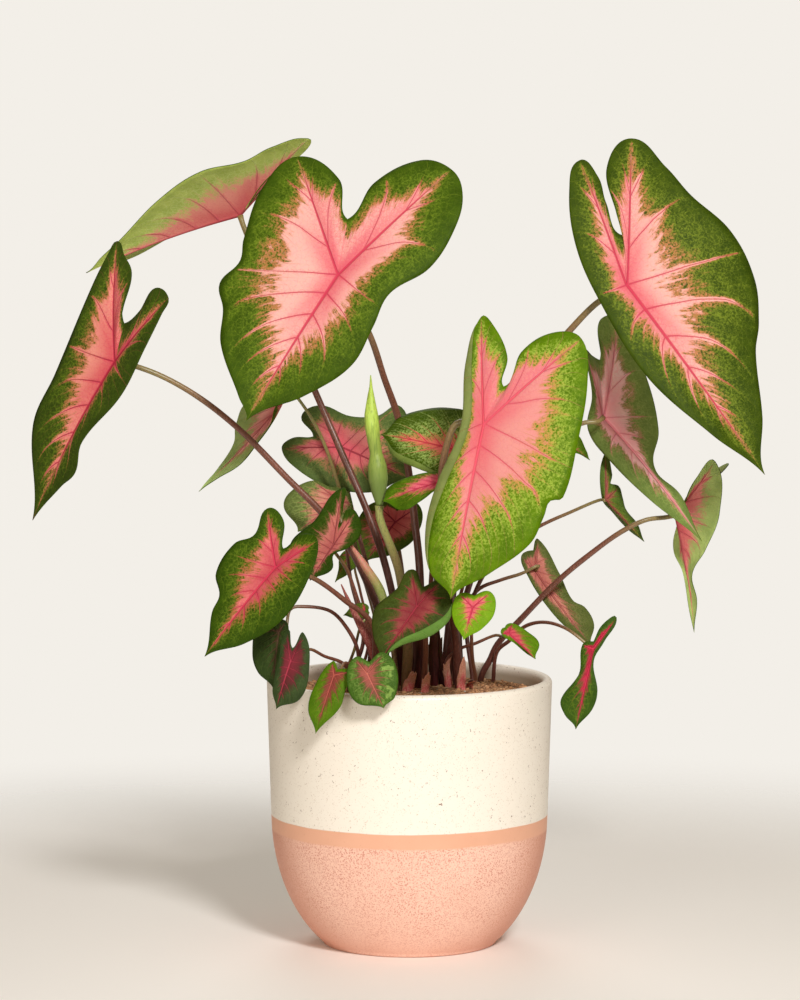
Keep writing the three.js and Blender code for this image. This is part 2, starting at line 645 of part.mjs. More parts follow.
// The blade's middle surface: on each side a panel from midrib and lobe vein out to the outer margin,
// and one from the lobe vein in to the sinus.
function bladeSurface(leaf) {
  const [joint, tip] = [leaf.joint, leaf.tip].map(point);
  const normal = faceNormal(leaf);
  const midrib = arched(joint, tip, normal);
  const tipStrips = stripCount(midrib, FEWEST_TIP_STRIPS);
  const rows = joint.distanceTo(tip) > WIDE_BLADE ? 3 : 2;
  const triangles = [leaf.left, leaf.right].flatMap((side) => {
    const lobeVein = arched(joint, point(side.lobe), normal);
    const { outer, inner } = marginOf(leaf, side);
    const lobeStrips = stripCount(lobeVein, FEWEST_LOBE_STRIPS);
    const lobeVeinPoints = lobeVein.getPoints(lobeStrips);
    const veinPoints = [...midrib.getPoints(tipStrips).reverse(), ...lobeVeinPoints.slice(1)];
    const marginPoints = outer.getSpacedPoints(tipStrips + lobeStrips);
    const outerGrid = panel(veinPoints, marginPoints, rows, normal, side.roll);
    const innerGrid = panel(lobeVeinPoints.reverse(), inner.getSpacedPoints(lobeStrips), rows, normal);
    const flipped = side === leaf.right;
    return [...panelTriangles(outerGrid, flipped), ...panelTriangles(innerGrid, flipped)];
  });
  const surface = mergeVertices(new THREE.BufferGeometry().setFromPoints(triangles.flat()), 1e-2);
  const index = Array.from(surface.index.array);
  surface.setIndex(index.filter((_, i) => {
    const corners = index.slice(i - i % 3, i - i % 3 + 3);
    return new Set(corners).size === 3;
  }));
  surface.computeVertexNormals();
  return surface;
}

// A closed solid of even thickness round a surface, split into triangles alike on both faces.
function thickened(surface, thickness) {
  const { position, normal } = surface.attributes;
  const index = Array.from(surface.index.array);
  const count = position.count;
  const points = [];
  for (const shift of [thickness / 2, -thickness / 2]) {
    for (let i = 0; i < count; i += 1) {
      const offset = new THREE.Vector3().fromBufferAttribute(normal, i).multiplyScalar(shift);
      points.push(new THREE.Vector3().fromBufferAttribute(position, i).add(offset));
    }
  }
  const open = new Map();
  const triangles = [];
  for (let t = 0; t < index.length; t += 3) {
    const [a, b, c] = index.slice(t, t + 3);
    triangles.push(a, b, c, a + count, c + count, b + count);
    for (const [from, to] of [[a, b], [b, c], [c, a]]) {
      if (!open.delete(`${to}-${from}`)) open.set(`${from}-${to}`, [from, to]);
    }
  }
  for (const [from, to] of open.values()) {
    triangles.push(to, from, from + count, to, from + count, to + count);
  }
  const closed = new THREE.BufferGeometry().setFromPoints(points);
  closed.setIndex(triangles);
  return closed;
}

// The direction that a blade's middle surface faces right at the joint.
function jointNormal(surface, joint) {
  const { position, normal } = surface.attributes;
  for (let i = 0; i < position.count; i += 1) {
    if (new THREE.Vector3().fromBufferAttribute(position, i).distanceTo(joint) < 1e-3) {
      return new THREE.Vector3().fromBufferAttribute(normal, i);
    }
  }
  throw new Error('no point of the blade lies at its joint');
}

// ---------------------------------------------------------------- stalks and rolled leaves
// A closed tube along a path. radii are spread evenly along it; the tube's ends are flat.
function taperedTube(path, radii, sides, steps) {
  const { normals, binormals } = path.computeFrenetFrames(steps, false);
  const points = [];
  for (let i = 0; i <= steps; i += 1) {
    const along = i / steps * (radii.length - 1);
    const k = Math.min(Math.floor(along), radii.length - 2);
    const radius = THREE.MathUtils.lerp(radii[k], radii[k + 1], along - k);
    for (let j = 0; j < sides; j += 1) {
      const angle = 2 * Math.PI * j / sides;
      points.push(path.getPointAt(i / steps)
        .addScaledVector(normals[i], radius * Math.cos(angle))
        .addScaledVector(binormals[i], radius * Math.sin(angle)));
    }
  }
  const triangles = [];
  for (let i = 0; i < steps; i += 1) {
    for (let j = 0; j < sides; j += 1) {
      const [a, b] = [i * sides + j, i * sides + (j + 1) % sides];
      triangles.push(a, b, b + sides, a, b + sides, a + sides);
    }
  }
  for (let j = 1; j < sides - 1; j += 1) {
    const end = steps * sides;
    triangles.push(0, j + 1, j, end, end + j, end + j + 1);
  }
  const closed = new THREE.BufferGeometry().setFromPoints(points);
  closed.setIndex(triangles);
  return closed;
}

// From the tuber straight up through the soil, along the route, and square onto the blade.
function stalkPath({ foot, route }, joint, normal, gap) {
  const ends = [-NECK, -gap].map((reach) => joint.clone().addScaledVector(normal, reach));
  return new THREE.CatmullRomCurve3([
    new THREE.Vector3(...foot, CROWNS[0].centre[2]),
    new THREE.Vector3(...foot, SOIL_TOP + 2),
    ...route.map(point),
    ...ends,
  ], false, 'centripetal');
}

function stalkTube(stalk, path, clearance = 0) {
  const radii = [FOOT_SHARE, 1, NECK_SHARE].map((share) => stalk.radius * share + clearance);
  const steps = stalk.steps ?? Math.max(FEWEST_STEPS, Math.round(path.getLength() / STALK_STEP) + 3);
  return solid(taperedTube(path, radii, STALK_SIDES, steps));
}

// A leaf that is still rolled up, or the husk that it came out of: a spindle along a path.
function rolled({ points, radii, sides, steps }, clearance = 0) {
  const path = new THREE.CatmullRomCurve3(points.map(point), false, 'centripetal');
  return solid(taperedTube(path, radii.map((radius) => radius + clearance), sides, steps));
}

const SPEAR = {
  points: [[-16.7, -26, 249], [-18.4, -26, 275], [-20.8, -26, 296], [-21.5, -25, 321]],
  radii: [2.1, 4.5, 5.9, 5.6, 3.6, 4, 4.4, 4.1, 2.6, 1.1, 0.3],
  sides: 9,
  steps: 15,
};
const SPEAR_STALK = {
  radius: 2.8, foot: [-2, -2], route: routeInSpace([[408, 640, -8], [398, 570, -18]]),
};
const YOUNG_LEAF = {
  points: [[-7, -3, 118], [-7, -3, 144], [-10, -6, 172], [-16, -10, 199], [-25, -10, 214],
    [-34, -8, 227]],
  radii: [1.5, 1.5, 1.5, 1.6, 2.2, 2.9, 2.4, 0.6],
  sides: 8,
  steps: 16,
};
const SHEATH = {
  points: [[-16, -2, 118], [-16, -2, 144], [-19, -6, 162], [-24, -10, 174], [-31, -14, 188],
    [-38, -16, 204]],
  radii: [2.2, 2.4, 2.8, 3.4, 2.8, 1.6, 0.4],
  sides: 8,
  steps: 14,
};

// ---------------------------------------------------------------- the plant in its pot
const tuber = tuberSolid();
const tuberSpace = tuberSolid(FIT_GAP);
let soil = solid(soilGeometry()).subtract(tuberSpace);

add('pot', welded(potGeometry()), COLOURS.cream, 0.45);
add('tuber', geometryOf(tuber), COLOURS.tuber, 0.9);

for (const [name, leaf] of Object.entries(LEAVES)) {
  const surface = bladeSurface(leaf);
  const joint = point(leaf.joint);
  const gap = leaf.whole ? 0 : BLADE_THICKNESS / 2 + FIT_GAP + leaf.stalk.radius * NECK_SHARE;
  const normal = between(jointNormal(surface, joint), faceNormal(leaf), 0.5).normalize();
  const path = stalkPath(leaf.stalk, joint, normal, gap);
  const blade = thickened(surface, BLADE_THICKNESS);
  const stalk = stalkTube(leaf.stalk, path).subtract(tuberSpace);
  if (leaf.whole) {
    add(`leaf_${name}`, geometryOf(solid(blade).add(stalk)), COLOURS.blade, 0.5);
  } else {
    add(`blade_${name}`, blade, COLOURS.blade, 0.5);
    add(`stalk_${name}`, geometryOf(stalk), COLOURS[leaf.stalk.colour ?? 'stalk'], 0.5);
  }
  soil = soil.subtract(stalkTube(leaf.stalk, path, HOLE_CLEARANCE));
}

const spearFoot = point(SPEAR.points[0]);
const spearPath = stalkPath(SPEAR_STALK, spearFoot, new THREE.Vector3(0, 0, 1), FIT_GAP);
const spearStalk = stalkTube(SPEAR_STALK, spearPath).subtract(tuberSpace);
add('spear', geometryOf(rolled(SPEAR)), COLOURS.spear, 0.45);
add('stalk_spear', geometryOf(spearStalk), COLOURS.oliveStalk, 0.5);
add('young_leaf', geometryOf(rolled(YOUNG_LEAF).subtract(tuberSpace)), COLOURS.youngLeaf, 0.5);
add('sheath', geometryOf(rolled(SHEATH).subtract(tuberSpace)), COLOURS.sheath, 0.6);
soil = soil
  .subtract(stalkTube(SPEAR_STALK, spearPath, HOLE_CLEARANCE))
  .subtract(rolled(YOUNG_LEAF, HOLE_CLEARANCE))
  .subtract(rolled(SHEATH, HOLE_CLEARANCE));

add('soil', geometryOf(soil), COLOURS.soil, 0.95);

export default group;
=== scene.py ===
# %% [markdown]
# # Dressing a potted caladium
# The solid model of this plant is exact about places and plain about looks. This lesson keeps every
# place and adds the looks: finer blades with their pink hearts and red veins, tapering stalks, a
# speckled two-tone glaze and crumbly soil. The solid model is loaded first and never moved, so each
# new piece is made straight in its coordinates, in metres, with +Z up and the pot's foot at the origin.

# %% The solid model
import math
import random
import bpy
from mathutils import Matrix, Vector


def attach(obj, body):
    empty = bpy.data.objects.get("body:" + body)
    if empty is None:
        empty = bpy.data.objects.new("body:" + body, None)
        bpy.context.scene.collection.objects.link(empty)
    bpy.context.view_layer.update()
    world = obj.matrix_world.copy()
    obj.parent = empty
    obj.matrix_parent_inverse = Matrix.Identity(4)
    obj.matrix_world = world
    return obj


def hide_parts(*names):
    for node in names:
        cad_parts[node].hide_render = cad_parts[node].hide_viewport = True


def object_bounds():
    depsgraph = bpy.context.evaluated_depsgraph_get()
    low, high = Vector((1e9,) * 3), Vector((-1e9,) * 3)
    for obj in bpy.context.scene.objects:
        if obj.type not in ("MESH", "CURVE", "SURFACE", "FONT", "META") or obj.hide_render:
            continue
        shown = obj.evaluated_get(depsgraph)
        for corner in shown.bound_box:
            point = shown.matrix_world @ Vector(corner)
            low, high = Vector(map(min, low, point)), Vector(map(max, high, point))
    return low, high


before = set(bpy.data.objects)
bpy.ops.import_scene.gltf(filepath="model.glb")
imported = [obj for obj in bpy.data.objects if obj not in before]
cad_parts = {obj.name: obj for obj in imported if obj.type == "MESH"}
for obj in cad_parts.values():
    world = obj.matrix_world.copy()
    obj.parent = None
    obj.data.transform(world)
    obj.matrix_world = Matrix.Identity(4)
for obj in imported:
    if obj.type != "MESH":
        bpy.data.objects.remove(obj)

from types import SimpleNamespace

import bpy
import numpy as np
from mathutils import Vector, noise

solid_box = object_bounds()
print(len(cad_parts), "solid nodes, box", solid_box)

# %% [markdown]
# ## The camera
# A portrait of a plant is taken from a few steps back with a long lens, so that the pot isn't drawn
# into a barrel. The camera stands 2.3 m in front, level with the topmost leaf, and looks down by five
# degrees. It could be tracked to an empty, but turning it once in code leaves no constraint.

# %% Camera
MM = 0.001  # lengths are noted in millimetres, and the scene is in metres
EYE, AIM = np.array((-5.3, -2300.0, 450.0)), np.array((-5.3, 0.0, 249.7))
camera = bpy.data.objects.new("camera", bpy.data.cameras.new("camera"))
bpy.context.scene.collection.objects.link(camera)
bpy.context.scene.camera = camera
camera.data.lens = 148.67
camera.location = Vector(EYE) * MM
sight = Vector(AIM) * MM - camera.location
camera.rotation_euler = sight.to_track_quat("-Z", "Y").to_euler()
print("camera looks down by", round(math.degrees(math.atan2(-sight.z, sight.y)), 1), "degrees")

# %% [markdown]
# ## Small helpers for shapes
# Every piece here is a mesh worked out from curves. numpy keeps the sums on whole rows of points
# short. The measurements are in millimetres, as a maker would note them, and turn into metres once.

# %% Points and paths
def metres(rows):
    return np.array(rows, float) * MM


def unit(vector):
    return vector / np.linalg.norm(vector, axis=-1, keepdims=True)


def lengths_along(path):
    return np.concatenate([[0], np.cumsum(np.linalg.norm(np.diff(path, axis=0), axis=1))])


def spaced(path, count):
    """count + 1 points at even distances along a polyline."""
    along = lengths_along(path)
    at = np.linspace(0, along[-1], count + 1)
    return np.stack([np.interp(at, along, path[:, axis]) for axis in range(3)], 1)


def cubic(a, b, c, d, share):
    """Points on a curve that leaves a towards b and comes to d from c."""
    rest = 1 - share
    return rest**3 * a + 3 * rest**2 * share * b + 3 * rest * share**2 * c + share**3 * d


def quadratic(a, b, c, share):
    """Points on a curve from a to c that is pulled towards b."""
    return (1 - share) ** 2 * a + 2 * (1 - share) * share * b + share**2 * c


STEPS_PER_STRETCH = 16


def smooth_path(knots):
    """A smooth path through the knots that takes sharp bends without swinging out."""
    knots = np.vstack([2 * knots[0] - knots[1], knots, 2 * knots[-1] - knots[-2]])
    share = np.arange(STEPS_PER_STRETCH)[:, None] / STEPS_PER_STRETCH
    rows = []
    for a, b, c, d in zip(knots, knots[1:], knots[2:], knots[3:]):
        before, here, after = [np.linalg.norm(q - p) ** 0.5 for p, q in ((a, b), (b, c), (c, d))]
        leave = ((b - a) / before - (c - a) / (before + here) + (c - b) / here) * here
        arrive = ((c - b) / here - (d - b) / (here + after) + (d - c) / after) * here
        bend = 3 * (c - b) - 2 * leave - arrive
        rows.append(b + leave * share + bend * share**2 + (2 * (b - c) + leave + arrive) * share**3)
    return np.vstack(rows + [knots[-2:-1]])


def shifted(faces, count):
    """The same faces for points that come after `count` others."""
    return [[corner + count for corner in face] for face in faces]


def ring_quad(ring, side, sides):
    """The face between one ring of points and the next."""
    near, far, beside = ring * sides, (ring + 1) * sides, (side + 1) % sides
    return [near + side, near + beside, far + beside, far + side]


# %% [markdown]
# ## From points to a piece
# A piece is a mesh that rides on the model's one body and stands for the plain node that it
# replaces. One function does that for all of them, so none can be forgotten. Numbers that a finish
# needs, such as how far a point lies from a vein, go along as maps on the corners of the faces.

# %% Making a piece
def make_piece(name, points, faces, finishes, replaced, finish_of_face=None, maps=None, smooth=True):
    mesh = bpy.data.meshes.new(name)
    mesh.from_pydata(np.asarray(points).tolist(), [], faces)
    for finish in finishes:
        mesh.materials.append(finish)
    if finish_of_face is not None:
        mesh.polygons.foreach_set("material_index", finish_of_face)
    for map_name, pairs in (maps or {}).items():
        layer = mesh.uv_layers.new(name=map_name, do_init=False)
        layer.uv.foreach_set("vector", np.asarray(pairs, np.float32).ravel())
    mesh.polygons.foreach_set("use_smooth", [smooth] * len(mesh.polygons))
    mesh.update()
    piece = bpy.data.objects.new(name, mesh)
    bpy.context.scene.collection.objects.link(piece)
    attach(piece, "root")
    if replaced:
        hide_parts(*replaced)
    return piece


# %% [markdown]
# ## Shaders as sums
# A finish is a tree of nodes, but it is easier to write and to read as a sum. `Amount` wraps one
# socket that carries a number and lets Python's operators add the Math nodes. Colours go through
# Mix nodes instead, since a Math node would turn them grey. Every other node comes from one method.

# %% The shader kit
def math_node(operation, turned=False):
    """An operator that adds a Math node. turned is for a plain number that stands on the left."""
    def operator(self, other):
        return self.math(operation, *((other, self) if turned else (self, other)))
    return operator


class Amount:
    """A number that varies over a surface."""

    def __init__(self, shader, socket):
        self.shader, self.socket = shader, socket

    def math(self, operation, *terms):
        return self.shader.node("ShaderNodeMath", {"operation": operation}, dict(enumerate(terms)))

    __add__, __radd__ = math_node("ADD"), math_node("ADD", True)
    __sub__, __rsub__ = math_node("SUBTRACT"), math_node("SUBTRACT", True)
    __mul__, __rmul__ = math_node("MULTIPLY"), math_node("MULTIPLY", True)
    __truediv__, __mod__ = math_node("DIVIDE"), math_node("FLOORED_MODULO")
    larger, smaller = math_node("MAXIMUM"), math_node("MINIMUM")

    def __abs__(self):
        return self.math("ABSOLUTE", self)

    def floor(self):
        return self.math("FLOOR", self)

    def rise(self, low, high, bottom=0.0, top=1.0):
        """bottom below low, top above high, and a soft step between them."""
        return self.shader.node("ShaderNodeMapRange", {"interpolation_type": "SMOOTHSTEP"},
                                {0: self, 1: low, 2: high, 3: bottom, 4: top})


# %% A finish's tree
class Shader:
    """The node tree of one finish."""

    def __init__(self, name):
        self.material = bpy.data.materials.new(name)
        self.material.use_nodes = True
        self.tree = self.material.node_tree
        self.tree.nodes.clear()

    def node(self, kind, settings=None, inputs=None, output=0):
        made = self.tree.nodes.new(kind)
        for key, setting in (settings or {}).items():
            setattr(made, key, setting)
        for key, value in (inputs or {}).items():
            if isinstance(value, Amount):
                self.tree.links.new(value.socket, made.inputs[key])
            else:
                made.inputs[key].default_value = value
        return Amount(self, made.outputs[output]) if made.outputs else made

    def pair(self, map_name):
        """The two numbers of a map on the mesh."""
        both = self.node("ShaderNodeUVMap", {"uv_map": map_name})
        return [self.part(both, axis) for axis in (0, 1)]

    def place(self, scale=(1, 1, 1)):
        """Where the surface is, in the object's own millimetres times scale."""
        where = self.node("ShaderNodeTexCoord", output=3)
        stretch = [1000 * s for s in scale]
        return self.node("ShaderNodeVectorMath", {"operation": "MULTIPLY"}, {0: where, 1: stretch})

    def vector(self, x, y, z):
        return self.node("ShaderNodeCombineXYZ", {}, {0: x, 1: y, 2: z})

    def part(self, vector, axis):
        return self.node("ShaderNodeSeparateXYZ", {}, {0: vector}, axis)

    def length(self, vector):
        return self.node("ShaderNodeVectorMath", {"operation": "LENGTH"}, {0: vector}, 1)

    def cloud(self, where, scale, detail=2.0, roughness=0.5):
        """Smooth noise about 0.5. A blotch is about 1 / scale wide."""
        return self.node("ShaderNodeTexNoise", {},
                         {"Vector": where, "Scale": scale, "Detail": detail, "Roughness": roughness})

    def dice(self, where):
        """A random number from 0 to 1 that only changes where `where` does."""
        return self.node("ShaderNodeTexWhiteNoise", {}, {"Vector": where})

    def cells(self, where, scale, feature="F1", output=0):
        return self.node("ShaderNodeTexVoronoi", {"feature": feature},
                         {"Vector": where, "Scale": scale}, output)

    def blend(self, share, first, second):
        """The first colour where share is 0, the second where it is 1."""
        return self.node("ShaderNodeMix", {"data_type": "RGBA"}, {0: share, 6: first, 7: second}, 2)

    def finish(self, colour, roughness, bump, **constants):
        """Closes the tree with one surface. bump is a height in millimetres."""
        inputs = {"Base Color": colour, "Roughness": roughness}
        inputs.update({key.replace("_", " "): value for key, value in constants.items()})
        inputs["Normal"] = self.node("ShaderNodeBump", {}, {"Height": bump, "Distance": MM, "Strength": 1.0})
        surface = self.node("ShaderNodeBsdfPrincipled", {}, inputs)
        self.node("ShaderNodeOutputMaterial", {}, {"Surface": surface})
        return self.material


# %% Colours
def paint(red, green, blue):
    """A colour from screen values of 0 to 255."""
    def linear(value):
        value /= 255
        return value / 12.92 if value <= 0.04045 else ((value + 0.055) / 1.055) ** 2.4
    return (linear(red), linear(green), linear(blue), 1.0)


print("white paint is", paint(255, 255, 255))


# %% [markdown]
# ## The plan of the leaves
# The plant is planned on a sheet of 800 by 1000 units, as the camera sees it, with the same numbers as
# the solid model. [across, down] is a place on the sheet. joint is where the stalk meets the blade,
# depth is how far that lies behind the pot's axis in mm, and facing is the way that the face looks. tip
# and sinus are the ends of the blade's middle line. left and right are the sides seen on the face with
# the tip down: flank runs up the outer margin from the tip, lobe is the end of the back lobe, and inner
# runs down from it to the sinus. A third number lifts a place off the blade's plane, and a free place
# has a depth of its own instead. A flat blade isn't domed, a roll folds a stretch of the margin back
# over the face, and a whole leaf is so small that blade and stalk are one piece. A stalk passes places
# with a depth, and its foot is in millimetres on the soil.

# %% The plan
def free(across, down, depth):
    """A place that stands away from the blade's plane."""
    return {"free": (across, down, depth)}


